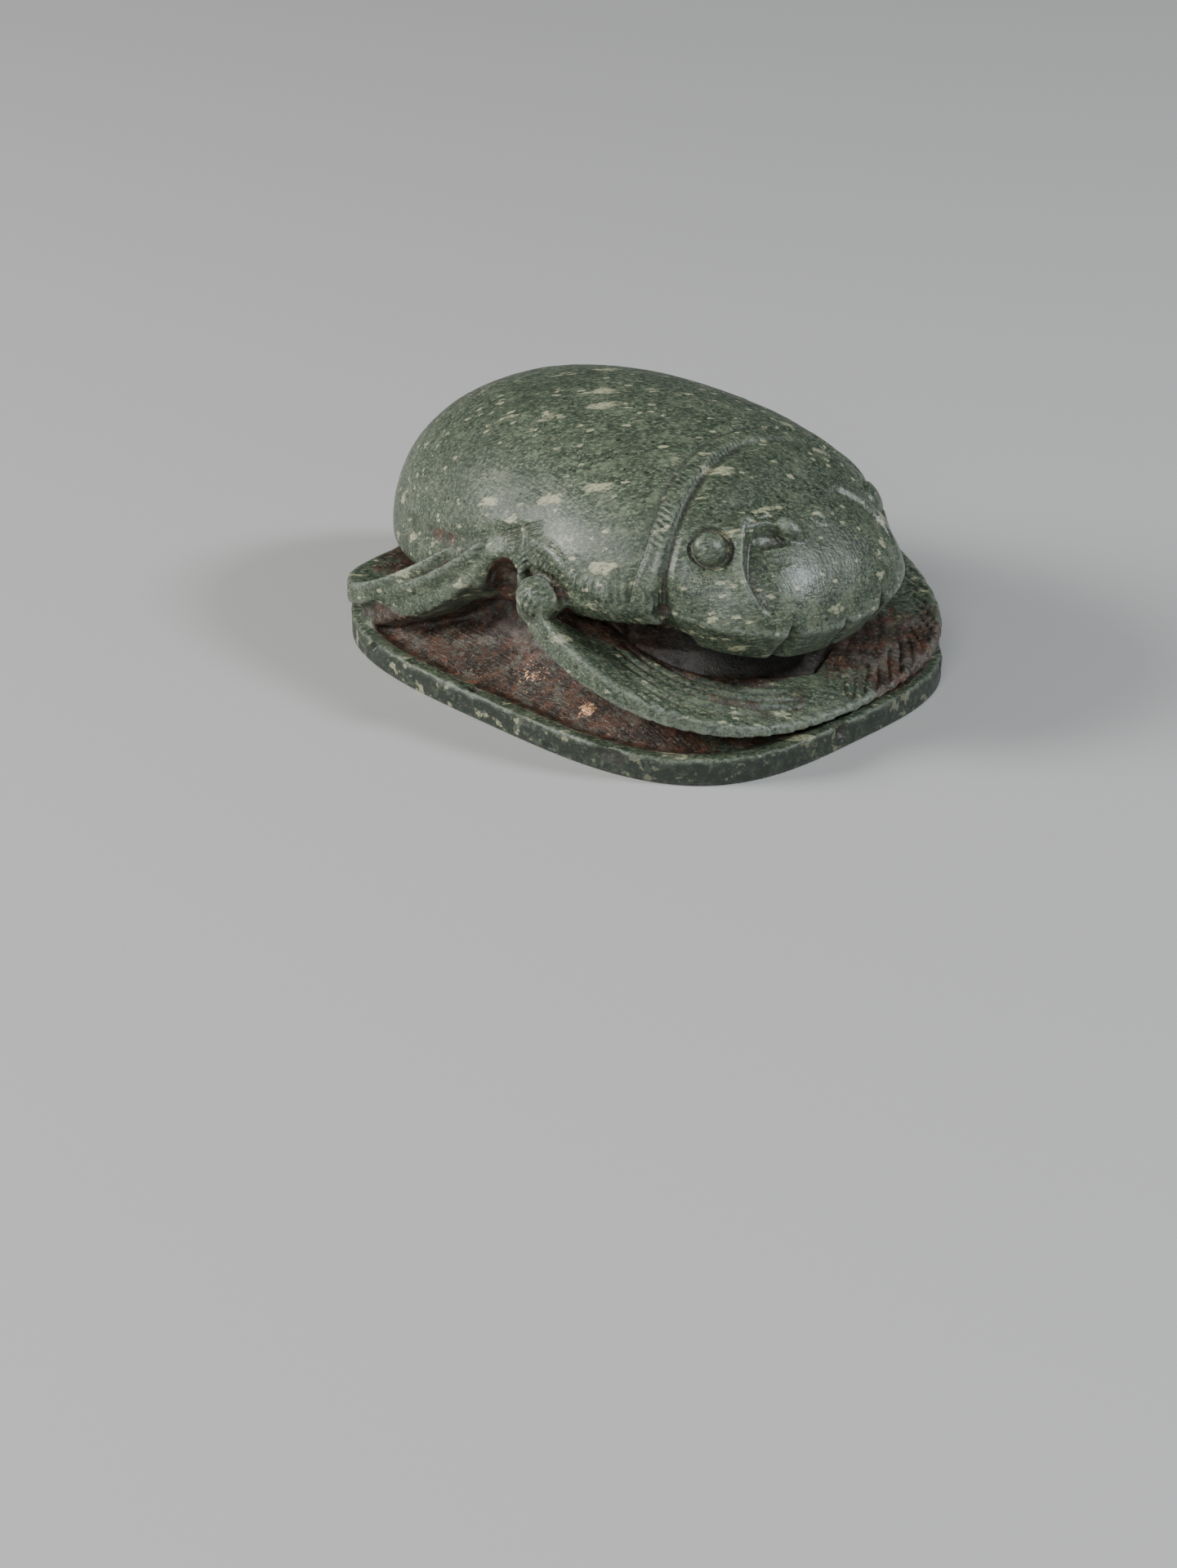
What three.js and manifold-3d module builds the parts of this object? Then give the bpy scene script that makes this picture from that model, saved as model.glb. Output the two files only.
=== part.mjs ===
// Heart scarab: a beetle carved with its oval plinth from one block of speckled green stone.
// Millimetres, +Z up, +X towards the head, resting on the plinth's underside at z = 0.
// The beetle's own heights are measured from the top of the plinth's rim.
import * as THREE from 'three';
import { mergeVertices } from 'three/addons/utils/BufferGeometryUtils.js';
import Module from 'manifold-3d';

const wasm = await Module();
wasm.setup();

// Plinth: an oval slab, nearly straight across the front, with a worn rim and a low bank inside it.
const plinthFront = 30;
const plinthRear = 31;
const plinthHalfWidth = 24;
const plinthSquareness = 3.3;
const plinthRim = 2.9;
const rimChamfer = 0.35;
const rimWidth = 1.3;
const gutterInset = 2.6;
const gutterDepth = 0.25;
const bankInset = 4.6;
const bankRise = 0.8;
const bankTopInset = 10.5;
const bankTopRise = 3.2;

// Back: the wing cases and the shield behind the head, one smooth dome.
const backCentre = -1.4;
const backFrontInset = 0.2;
const backOverhang = 1.2;
const backSideInset = 4;
const backSquareness = 2.17;
const backFlare = 0.05;
const backTop = 26.3;
const backWaistRear = 6.5;
const backWaistFront = 12.7;
const backUnderRear = 5.5;
const backUnderFront = 2.6;

// Trunk that carries the back, between the legs.
const trunkFrontInset = 10;
const trunkRearInset = 4;
const trunkSideInset = 9.4;
const trunkSquareness = 2.4;
const trunkRoot = 2;
const trunkFlare = 3.6;
const trunkFlareHeight = 1.2;
const trunkWaistFlare = 1.6;
const trunkWaistHeight = 3.2;
const trunkWallHeight = 6.2;
const trunkTop = 15;

// Head: a plate with a rounded, notched edge, domed a little below the back.
const headBase = 16.5;
const headFrontInset = 0.6;
const headSideInset = 9;
const headSquareness = 2.4;
const headUnderside = 7.7;
const headUndersideLift = 2.2;
const headDomeSquareness = 2.9;
const headDomeSideInset = 6.4;
const headDomeOverrun = 0.35;
const headDomeTop = 25.6;
const headDomeWaist = 7.2;
const headDomeUnder = 1;
const notchAside = 7.4;
const notchHalfWidth = 1.5;
const notchDepth = 1.3;
const middleNotchHalfWidth = 0.8;
const middleNotchDepth = 0.7;
const notchRun = 2;

// Neck: the arc where the shield ends, and the groove in front of it.
const neckMiddle = 12.6;
const neckBend = 4;
const neckBendPower = 1.6;
const neckSideInset = 0.5;
const grooveRadius = 1.4;
const grooveLift = 0.3;
const grooveAhead = 0.8;
const grooveOverrun = 1;

// Face, placed from the head's base.
const eyeAhead = 2.5;
const eyeAside = 11.2;
const eyeRadius = 1.6;
const eyeHeight = 1;
const eyeRingWidth = 0.9;
const browAhead = 5.8;
const browAside = 2.5;
const browLength = 1.7;
const browWidth = 2.8;
const browHeight = 0.7;
const ridgeRadius = 0.6;
const ridgeStartAhead = 4.6;
const ridgeStartAside = 3.2;
const ridgeKneeAhead = 4.3;
const ridgeKneeAside = 6.6;
const ridgeCheekAhead = 6.6;
const ridgeCheekAside = 9.4;
const ridgeEndAhead = 9.9;
const ridgeEndAside = 9.6;

// Shoulder knobs and the short notch between each wing case and the shield.
const shoulderAhead = 3;
const shoulderInset = 4.4;
const shoulderHeight = 12.3;
const shoulderLength = 4.4;
const shoulderWidth = 3.4;
const shoulderRise = 2.1;
const flankNotchAhead = 0.4;
const flankNotchTop = 17.4;
const flankNotchFoot = 14;
const flankNotchSlant = 1.6;
const flankNotchRadius = 0.5;

// Front legs: from the middle of the front, round under the head and up to the shoulders.
const frontLegEnd = -88;
const frontEdgeInset = -0.2;
const frontShoulderInset = 3.2;
const frontEdgeLow = 0.7;
const frontShoulderLow = 10.2;
const frontEdgeThickness = 0.9;
const frontShoulderThickness = 4.2;
const frontEdgeSlope = 0.4;
const frontPlateWidth = 6;
const frontPlateBulge = 4.5;
const frontPlateShoulderWidth = 7.5;
const frontPlateRise = 3.1;
const frontPlateShoulderRise = 12.6;
const frontPlateRoot = 0.5;
const frontPlateShoulderRoot = 7.5;
const frontRisePower = 1.7;
const frontInsetPower = 4;
const toothCount = 22;
const toothDepth = 0.45;
const toothReach = 0.62;

// Middle legs: from the flanks back and down to the plinth's rear corners.
const midLegStart = -91;
const midLegEnd = -142;
const midLegInset = 4.4;
const midLegEndInset = 0.6;
const midLegWidth = 8;
const midLegLow = 11.7;
const midLegHigh = 15.1;
const midLegDrop = 13.4;
const midLegLowPower = 0.75;
const midLegHighPower = 0.95;

// Hind legs: from the flanks down to the rear corners and on as a shelf round the rear.
const hindLegStart = -119;
const hindLegEnd = -181;
const hindKnee = 0.36;
const hindShelfInset = 2.5;
const hindKneeInset = -0.5;
const hindRootInset = 5.5;
const hindShelfLow = 1.4;
const hindShelfHigh = 3.4;
const hindShelfRoot = 14;
const hindShelfRise = 3.9;
const hindRootDrop = 8.6;
const hindFallPower = 1.35;
const hindRoundLength = 0.3;

// Facets: steps round and up each form, and along each bar or leg.
const backFacets = [56, 24];
const headFacets = [42, 20];
const ovalFacets = 60;
const bossFacets = [12, 7];
const ringFacets = [6, 18];
const barSides = 6;
const groovePoints = 12;
const grooveSteps = 30;
const notchSteps = 4;
const ridgeSteps = 12;
const legSides = 8;
const legSquareness = 12;
const shortLegSteps = 14;
const longLegSteps = 26;
const outlineSteps = 36;

// Corners closer than this are one, and values closer to nought than the second are nought.
const mergeReach = 1e-4;
const roundingError = 1e-6;

const stone = new THREE.MeshStandardMaterial({ color: 0x4f6b58, roughness: 0.42, metalness: 0 });

const mix = THREE.MathUtils.lerp;
const clamp = THREE.MathUtils.clamp;
const radians = THREE.MathUtils.degToRad;

// Signed power, with rounding errors near nought left out.
function power(value, exponent) {
  const size = Math.abs(value);
  return size < roundingError ? 0 : Math.sign(value) * size ** exponent;
}

// Runs from one value to another along s, slowly at first where the bend is over 1.
const swell = (from, to, bend = 1) => (s) => mix(from, to, s ** bend);

// Makes a closed solid of a geometry: shared corners merged, flat triangles dropped, faces out.
function solid(geometry) {
  const bare = new THREE.BufferGeometry();
  bare.setAttribute('position', geometry.getAttribute('position'));
  bare.setIndex(geometry.getIndex());
  const merged = mergeVertices(bare, mergeReach);
  const corners = merged.getAttribute('position').array;
  const index = merged.getIndex().array;
  const order = [];
  for (let i = 0; i < index.length; i += 3) {
    const [a, b, c] = [index[i], index[i + 1], index[i + 2]];
    if (a !== b && b !== c && c !== a) {
      order.push(a, b, c);
    }
  }
  const corner = (i) => new THREE.Vector3().fromArray(corners, 3 * i);
  let volume = 0;
  for (let i = 0; i < order.length; i += 3) {
    volume += corner(order[i]).dot(corner(order[i + 1]).cross(corner(order[i + 2])));
  }
  if (volume < 0) {
    order.reverse();
  }
  return new wasm.Manifold(new wasm.Mesh({
    numProp: 3,
    vertProperties: Float32Array.from(corners),
    triVerts: Uint32Array.from(order),
  }));
}

// A form of the beetle, drawn above the rim's top, set on the plinth.
const carved = (geometry) => solid(geometry.clone().translate(0, 0, plinthRim));

// The same form on both flanks.
const carvedPair = (geometry) => carved(geometry).add(carved(geometry.clone().scale(1, -1, 1)));

// Moves every corner of a geometry by a function of the corner.
function reshaped(geometry, move) {
  const positions = geometry.getAttribute('position');
  const corner = new THREE.Vector3();
  for (let i = 0; i < positions.count; i += 1) {
    move(corner.fromBufferAttribute(positions, i));
    positions.setXYZ(i, corner.x, corner.y, corner.z);
  }
  return geometry;
}

// Closed outline through a list of plan points.
function outline(points) {
  const shape = new THREE.Shape();
  points.forEach(([x, y], i) => (i === 0 ? shape.moveTo(x, y) : shape.lineTo(x, y)));
  return shape;
}

// Points of a plan curve given by a function of t from 0 to 1.
const plotted = (steps, at) => Array.from({ length: steps + 1 }, (_, i) => at(i / steps));

// Radius of an oval at a plan angle, with its own reach in front and behind.
function ovalRadius(angle, front, rear, half, squareness) {
  const reach = Math.cos(angle) > 0 ? front : rear;
  const along = Math.abs(Math.cos(angle) / reach) ** squareness;
  const across = Math.abs(Math.sin(angle) / half) ** squareness;
  return (along + across) ** (-1 / squareness);
}

const plinthRadius = (angle) => ovalRadius(
  angle,
  plinthFront,
  plinthRear,
  plinthHalfWidth,
  plinthSquareness,
);
const trunkRadius = (angle) => ovalRadius(
  angle,
  plinthFront - trunkFrontInset,
  plinthRear - trunkRearInset,
  plinthHalfWidth - trunkSideInset,
  trunkSquareness,
);

// Turned form drawn as insets from an oval's edge and heights, with a flat foot and a flat top.
function ovalForm(radiusAt, profile) {
  const nominal = radiusAt(Math.PI / 2);
  const inner = nominal - Math.max(...profile.map(([inset]) => inset));
  const rim = profile.map(([inset, height]) => new THREE.Vector2(nominal - inset, height));
  const foot = new THREE.Vector2(0, profile[0][1]);
  const top = new THREE.Vector2(0, profile.at(-1)[1]);
  const lathe = new THREE.LatheGeometry([foot, ...rim, top], ovalFacets).rotateX(-Math.PI / 2);
  return reshaped(lathe, (p) => {
    const radius = Math.hypot(p.x, p.y);
    const angle = Math.atan2(p.y, p.x);
    const growth = radiusAt(angle) - nominal;
    const wanted = radius + growth * Math.min(radius / inner, 1);
    p.set(wanted * Math.cos(angle), wanted * Math.sin(angle), -p.z);
  });
}

// Dome with an oval waist; the waist may rise towards the front, and the form below it is shallow.
function dome(form) {
  const ball = new THREE.SphereGeometry(1, ...form.facets).rotateX(Math.PI / 2);
  return reshaped(ball, (p) => {
    const around = Math.atan2(p.y, p.x);
    const rise = Math.asin(clamp(p.z, -1, 1));
    const spread = power(Math.cos(rise), 2 / backSquareness);
    const x = power(Math.cos(around), 2 / form.squareness) * spread;
    const y = power(Math.sin(around), 2 / form.squareness) * spread;
    const z = power(Math.sin(rise), 2 / backSquareness);
    p.x = backCentre + x * (x > 0 ? form.front : form.rear);
    p.y = y * form.halfWidth * (1 + backFlare * p.x / plinthFront);
    const along = (x + 1) / 2;
    const waist = mix(form.waistRear, form.waistFront, along);
    const under = mix(form.underRear, form.underFront, along);
    p.z = waist + z * (z > 0 ? form.top - waist : under);
  });
}

// Height of a dome's upper surface above a point of the plan.
function domeHeight(form, x, y) {
  const along = (x - backCentre) / (x > backCentre ? form.front : form.rear);
  const across = y / (form.halfWidth * (1 + backFlare * x / plinthFront));
  const squareness = form.squareness;
  const reach = (Math.abs(along) ** squareness + Math.abs(across) ** squareness) ** (1 / squareness);
  const waist = mix(form.waistRear, form.waistFront, (along + 1) / 2);
  return waist + (form.top - waist) * Math.max(1 - reach ** backSquareness, 0) ** (1 / backSquareness);
}

// Half width of a dome at a place along it and a height above its waist.
function domeSide(form, x, height) {
  const along = (x - backCentre) / (x > backCentre ? form.front : form.rear);
  const waist = mix(form.waistRear, form.waistFront, (along + 1) / 2);
  const rise = clamp((height - waist) / (form.top - waist), 0, 1);
  const reach = (1 - rise ** backSquareness) ** (1 / backSquareness);
  const across = Math.max(reach ** form.squareness - Math.abs(along) ** form.squareness, 0);
  return across ** (1 / form.squareness) * form.halfWidth * (1 + backFlare * x / plinthFront);
}

// Loft between four rails, each a function of s from 0 to 1, with slightly rounded corners.
function railLoft({ outerLow, outerHigh, innerHigh, innerLow, steps }) {
  const drum = new THREE.CylinderGeometry(1, 1, 1, legSides, steps);
  return reshaped(drum, (p) => {
    const s = clamp(p.y + 0.5, 0, 1);
    const radius = Math.hypot(p.x, p.z);
    const around = Math.atan2(p.z, p.x);
    const out = (1 + radius * power(Math.cos(around), 2 / legSquareness)) / 2;
    const up = (1 + radius * power(Math.sin(around), 2 / legSquareness)) / 2;
    const low = innerLow(s).lerp(outerLow(s), out);
    const high = innerHigh(s).lerp(outerHigh(s), out);
    p.copy(low.lerp(high, up));
  });
}

// Rail that follows the plinth's edge from one plan angle to another.
function edgeRail(fromAngle, toAngle, inset, height) {
  return (s) => {
    const angle = radians(mix(fromAngle, toAngle, s));
    const radius = plinthRadius(angle) - inset(s);
    return new THREE.Vector3(radius * Math.cos(angle), radius * Math.sin(angle), height(s));
  };
}

// Round bar along a smooth curve through given points.
function bar(points, radius, steps) {
  const section = outline(plotted(barSides - 1, (t) => {
    const angle = 2 * Math.PI * t * (barSides - 1) / barSides;
    return [radius * Math.cos(angle), radius * Math.sin(angle)];
  }));
  const extrudePath = new THREE.CatmullRomCurve3(points);
  return new THREE.ExtrudeGeometry(section, { steps, extrudePath, bevelEnabled: false });
}

// Oval boss centred on a point.
const boss = (centre, length, width, height) => new THREE.SphereGeometry(1, ...bossFacets)
  .scale(length / 2, height, width / 2)
  .rotateX(Math.PI / 2)
  .translate(centre.x, centre.y, centre.z);

function plinth() {
  return solid(ovalForm(plinthRadius, [
    [0, 0],
    [0, plinthRim - rimChamfer],
    [rimChamfer, plinthRim],
    [rimWidth, plinthRim],
    [gutterInset, plinthRim - gutterDepth],
    [bankInset, plinthRim + bankRise],
    [bankTopInset, plinthRim + bankTopRise],
  ]));
}

function trunk() {
  return carved(ovalForm(trunkRadius, [
    [-trunkFlare, -trunkRoot],
    [-trunkFlare, trunkFlareHeight],
    [-trunkWaistFlare, trunkWaistHeight],
    [0, trunkWallHeight],
    [0, trunkTop],
  ]));
}

const backForm = {
  facets: backFacets,
  front: plinthFront - backCentre - backFrontInset,
  rear: plinthRear + backCentre + backOverhang,
  halfWidth: plinthHalfWidth - backSideInset,
  top: backTop,
  squareness: backSquareness,
  waistRear: backWaistRear,
  waistFront: backWaistFront,
  underRear: backUnderRear,
  underFront: backUnderFront,
};

const headReach = plinthFront - headFrontInset - headBase;
const headHalfWidth = plinthHalfWidth - headSideInset;
const headForm = {
  facets: headFacets,
  front: plinthFront - headFrontInset - backCentre + headDomeOverrun,
  rear: backForm.rear,
  halfWidth: plinthHalfWidth - headDomeSideInset,
  top: headDomeTop,
  squareness: headDomeSquareness,
  waistRear: headDomeWaist,
  waistFront: headDomeWaist,
  underRear: headDomeUnder,
  underFront: headDomeUnder,
};

const cutHeight = backTop + plinthRim;
const neckHalfWidth = headHalfWidth - neckSideInset;
const neckAt = (y) => neckMiddle + neckBend * (Math.abs(y) / neckHalfWidth) ** neckBendPower;

// Room in front of the shield, behind which the back is kept.
function headRoom() {
  const arc = plotted(outlineSteps, (t) => {
    const y = mix(-plinthHalfWidth, plinthHalfWidth, t);
    return [neckAt(Math.min(Math.abs(y), neckHalfWidth)), y];
  });
  const ahead = plinthFront + plinthRim;
  const plan = outline([...arc, [ahead, plinthHalfWidth], [ahead, -plinthHalfWidth]]);
  return carved(new THREE.ExtrudeGeometry(plan, { depth: cutHeight, bevelEnabled: false }));
}

// The head's plan, half an oval carried back under the shield, raised from its curved underside.
function headBlank() {
  const edge = plotted(outlineSteps, (t) => {
    const angle = mix(-Math.PI / 2, Math.PI / 2, t);
    const x = headBase + headReach * power(Math.cos(angle), 2 / headSquareness);
    return [x, headHalfWidth * power(Math.sin(angle), 2 / headSquareness)];
  });
  const plan = outline([...edge, [0, headHalfWidth], [0, -headHalfWidth]]);
  const block = new THREE.ExtrudeGeometry(plan, { depth: cutHeight, bevelEnabled: false });
  return carved(reshaped(block, (p) => {
    const underside = headUnderside + headUndersideLift * (p.y / headHalfWidth) ** 2;
    p.z = Math.max(p.z, underside);
  }));
}

// Notch in the head's edge, a wedge that opens outward and runs down through the plate.
function notch(aside, halfWidth, depth) {
  const share = (aside / headHalfWidth) ** headSquareness;
  const edge = headBase + headReach * (1 - share) ** (1 / headSquareness);
  const plan = outline([
    [edge - depth, aside],
    [edge + notchRun, aside - halfWidth],
    [edge + notchRun, aside + halfWidth],
  ]);
  return new THREE.ExtrudeGeometry(plan, { depth: cutHeight, bevelEnabled: false });
}

function head() {
  return carved(dome(headForm))
    .intersect(headBlank())
    .subtract(carvedPair(notch(notchAside, notchHalfWidth, notchDepth)))
    .subtract(carved(notch(0, middleNotchHalfWidth, middleNotchDepth)));
}

// Point on the head at a distance ahead of its base and to one side, raised by a lift.
function onHead(ahead, aside, lift = 0) {
  const x = headBase + ahead;
  return new THREE.Vector3(x, -aside, domeHeight(headForm, x, aside) + lift);
}

function neckGroove() {
  const halfRun = neckHalfWidth + grooveOverrun;
  const points = plotted(groovePoints, (t) => {
    const y = mix(-halfRun, halfRun, t);
    return onHead(neckAt(y) + grooveAhead - headBase, y, grooveLift);
  });
  return carved(bar(points, grooveRadius, grooveSteps));
}

const eyePlace = onHead(eyeAhead, eyeAside);
const eyes = () => carvedPair(boss(eyePlace, 2 * eyeRadius, 2 * eyeRadius, eyeHeight));

// Ring groove round each eye, lying on the slope of the head.
function eyeRings() {
  const forward = onHead(eyeAhead + eyeRadius, eyeAside).sub(eyePlace);
  const outward = onHead(eyeAhead, eyeAside + eyeRadius).sub(eyePlace);
  const normal = outward.cross(forward).normalize();
  const turn = new THREE.Quaternion().setFromUnitVectors(new THREE.Vector3(0, 0, 1), normal);
  const radius = eyeRadius + eyeRingWidth / 2;
  return carvedPair(new THREE.TorusGeometry(radius, eyeRingWidth / 2, ...ringFacets)
    .applyQuaternion(turn)
    .translate(eyePlace.x, eyePlace.y, eyePlace.z));
}

const brows = () => carvedPair(boss(onHead(browAhead, browAside), browLength, browWidth, browHeight));

// Ridge that frames the front of the head, from the brow past the eye towards the edge.
const faceRidges = () => carvedPair(bar([
  onHead(ridgeStartAhead, ridgeStartAside),
  onHead(ridgeKneeAhead, ridgeKneeAside),
  onHead(ridgeCheekAhead, ridgeCheekAside),
  onHead(ridgeEndAhead, ridgeEndAside, -ridgeRadius / 2),
], ridgeRadius, ridgeSteps));

function shoulders() {
  const place = new THREE.Vector3(shoulderAhead, shoulderInset - plinthHalfWidth, shoulderHeight);
  return carvedPair(boss(place, shoulderLength, shoulderWidth, shoulderRise));
}

// Short notch in each flank, where the wing case meets the shield.
function flankNotches() {
  const points = plotted(2, (share) => {
    const x = flankNotchAhead + flankNotchSlant * share;
    const height = mix(flankNotchTop, flankNotchFoot, share);
    return new THREE.Vector3(x, -domeSide(backForm, x, height), height);
  });
  return carvedPair(bar(points, flankNotchRadius, notchSteps));
}

function frontLegs() {
  const tooth = (s) => (s < toothReach ? toothDepth * (s * toothCount % 1) : 0);
  const inset = swell(frontEdgeInset, frontShoulderInset, frontInsetPower);
  const low = swell(frontEdgeLow, frontShoulderLow, frontRisePower);
  const thickness = swell(frontEdgeThickness, frontShoulderThickness, frontRisePower);
  const bulge = (s) => frontPlateBulge * Math.sin(Math.PI * s);
  const width = (s) => mix(frontPlateWidth, frontPlateShoulderWidth, s) + bulge(s);
  const rail = (insetAt, heightAt) => edgeRail(0, frontLegEnd, insetAt, heightAt);
  return carvedPair(railLoft({
    outerLow: rail((s) => inset(s) + tooth(s), low),
    outerHigh: rail((s) => inset(s) + frontEdgeSlope + tooth(s), (s) => low(s) + thickness(s)),
    innerHigh: rail(width, swell(frontPlateRise, frontPlateShoulderRise, frontRisePower)),
    innerLow: rail(width, swell(frontPlateRoot, frontPlateShoulderRoot, frontRisePower)),
    steps: 2 * toothCount,
  }));
}

function midLegs() {
  const inset = swell(midLegInset, midLegEndInset);
  const low = swell(midLegLow, midLegLow - midLegDrop, midLegLowPower);
  const high = swell(midLegHigh, midLegHigh - midLegDrop, midLegHighPower);
  const rail = (insetAt, heightAt) => edgeRail(midLegStart, midLegEnd, insetAt, heightAt);
  return carvedPair(railLoft({
    outerLow: rail(inset, low),
    outerHigh: rail(inset, high),
    innerHigh: rail((s) => inset(s) + midLegWidth, high),
    innerLow: rail((s) => inset(s) + midLegWidth, low),
    steps: shortLegSteps,
  }));
}

function hindLegs() {
  const fall = (s) => Math.max(1 - s / hindKnee, 0) ** hindFallPower;
  const round = (s) => clamp((s - hindKnee) / hindRoundLength, 0, 1);
  const inset = (s) => hindKneeInset
    + (hindRootInset - hindKneeInset) * fall(s)
    + (hindShelfInset - hindKneeInset) * round(s);
  const rail = (insetAt, height) => edgeRail(
    hindLegStart,
    hindLegEnd,
    insetAt,
    (s) => height + hindRootDrop * fall(s),
  );
  return carvedPair(railLoft({
    outerLow: rail(inset, hindShelfLow),
    outerHigh: rail(inset, hindShelfHigh),
    innerHigh: rail(() => hindShelfRoot, hindShelfRise),
    innerLow: rail(() => hindShelfRoot, hindShelfLow),
    steps: longLegSteps,
  }));
}

const scarab = carved(dome(backForm))
  .subtract(headRoom())
  .subtract(flankNotches())
  .add(head())
  .subtract(neckGroove())
  .subtract(eyeRings())
  .add(eyes())
  .add(faceRidges())
  .add(brows())
  .add(trunk())
  .add(plinth())
  .add(frontLegs())
  .add(midLegs())
  .add(hindLegs())
  .add(shoulders());

// Turns the finished solid back into a geometry.
function geometryOf(shape) {
  const mesh = shape.getMesh();
  const geometry = new THREE.BufferGeometry();
  const corners = Float32Array.from(mesh.vertProperties);
  geometry.setAttribute('position', new THREE.BufferAttribute(corners, 3));
  geometry.setIndex(new THREE.BufferAttribute(Uint32Array.from(mesh.triVerts), 1));
  geometry.computeVertexNormals();
  return geometry;
}

const carving = new THREE.Mesh(geometryOf(scarab), stone);
carving.name = 'scarab';
carving.position.x = -new THREE.Box3().setFromObject(carving).getCenter(new THREE.Vector3()).x;

const part = new THREE.Group();
part.add(carving);

export default part;
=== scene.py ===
"""Heart scarab carved from one block of speckled green stone, on a pale floor in soft studio light.

The fine carving is worked out as distances in millimetres on a grid, in the solid's own forms:
negative inside the stone, positive outside. Its zero surface becomes the mesh.
"""
import math

import bpy
import numpy as np
from mathutils import Matrix, Vector


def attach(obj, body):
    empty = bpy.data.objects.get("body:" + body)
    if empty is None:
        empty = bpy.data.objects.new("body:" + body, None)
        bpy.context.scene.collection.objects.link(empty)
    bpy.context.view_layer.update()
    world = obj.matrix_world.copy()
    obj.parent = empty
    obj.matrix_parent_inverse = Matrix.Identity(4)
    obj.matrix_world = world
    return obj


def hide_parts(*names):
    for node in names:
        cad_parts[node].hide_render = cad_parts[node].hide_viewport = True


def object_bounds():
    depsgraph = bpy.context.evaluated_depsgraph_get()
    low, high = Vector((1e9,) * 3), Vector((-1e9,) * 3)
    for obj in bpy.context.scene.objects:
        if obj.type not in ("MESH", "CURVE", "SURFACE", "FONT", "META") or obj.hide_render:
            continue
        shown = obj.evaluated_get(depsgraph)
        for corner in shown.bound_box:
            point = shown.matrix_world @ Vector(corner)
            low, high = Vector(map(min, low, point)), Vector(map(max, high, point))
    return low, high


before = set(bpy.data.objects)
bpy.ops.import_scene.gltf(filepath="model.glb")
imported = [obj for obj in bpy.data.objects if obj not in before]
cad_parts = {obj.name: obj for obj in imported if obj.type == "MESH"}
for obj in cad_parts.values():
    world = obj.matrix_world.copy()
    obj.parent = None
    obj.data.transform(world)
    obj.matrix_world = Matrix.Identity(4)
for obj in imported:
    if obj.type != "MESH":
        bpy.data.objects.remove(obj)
cad_low, cad_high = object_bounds()

MM = 0.001

# Plinth: insets from its edge, and heights above the floor.
PLINTH_FRONT = 30.0
PLINTH_REAR = 31.0
PLINTH_HALF_WIDTH = cad_high.y / MM
PLINTH_SQUARENESS = 3.3
RIM = 2.9
RIM_CHAMFER = 0.15
RIM_WIDTH = 1.3
GUTTER_INSET = 2.6
GUTTER_DEPTH = 0.25
BANK_INSET = 4.6
BANK_RISE = 0.8
BANK_TOP_INSET = 10.5
BANK_TOP_RISE = 3.2

# Back: wing cases and shield. Heights from here on are above the rim's top.
BACK_CENTRE = -1.4
BACK_FRONT_INSET = 0.2
BACK_OVERHANG = 1.2
BACK_SIDE_INSET = 4.0
BACK_SQUARENESS = 2.17
BACK_FLARE = 0.05
BACK_TOP = cad_high.z / MM - RIM
BACK_WAIST = (6.5, 12.7)
BACK_UNDER = (5.5, 2.6)

# Trunk between the legs.
TRUNK_FRONT_INSET = 10.0
TRUNK_REAR_INSET = 4.0
TRUNK_SIDE_INSET = 9.4
TRUNK_SQUARENESS = 2.4
TRUNK_FLARES = (3.6, 3.6, 1.6, 0.0, 0.0)
TRUNK_HEIGHTS = (-2.0, 1.2, 3.2, 6.2, 15.0)

# Head plate.
HEAD_BASE = 16.5
HEAD_FRONT_INSET = 0.6
HEAD_SIDE_INSET = 9.0
HEAD_SQUARENESS = 2.4
HEAD_UNDERSIDE = 7.2
HEAD_UNDERSIDE_LIFT = 1.9
FACE_LOW = HEAD_UNDERSIDE + 2.5
HEAD_DOME_SQUARENESS = 2.9
HEAD_DOME_SIDE_INSET = 6.4
HEAD_DOME_OVERRUN = 0.35
HEAD_DOME_TOP = 25.6
HEAD_DOME_WAIST = 7.2
NOTCHES = ((-7.7, 1.2, 1.8), (-0.9, 0.9, 0.8), (4.8, 1.1, 1.9))
NOTCH_RUN = 1.0
NOTCH_RISE = 1.6

# Neck arc and groove.
NECK_MIDDLE = 12.6
NECK_BEND = 4.0
NECK_BEND_POWER = 1.6
NECK_SIDE_INSET = 0.5
NECK_STEP = 0.2
NECK_REACH = (1.5, 6.5)
GROOVE_RADIUS = 0.6
GROOVE_LIFT = 0.3
GROOVE_AHEAD = 0.45
BAND_WIDTH = 2.2
BAND_CREASE_RADIUS = 0.25
BEAD_BEHIND = 0.3
BEAD_RADIUS = 0.4
BEAD_LOW = 13.5
BEAD_BREAKS = (1.7, 4.1)
BEAD_BREAK_DEPTH = 0.2
FAR_GROOVE_LOSS = 0.15
NECK_FADE = (-2.5, 4.5)

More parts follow.
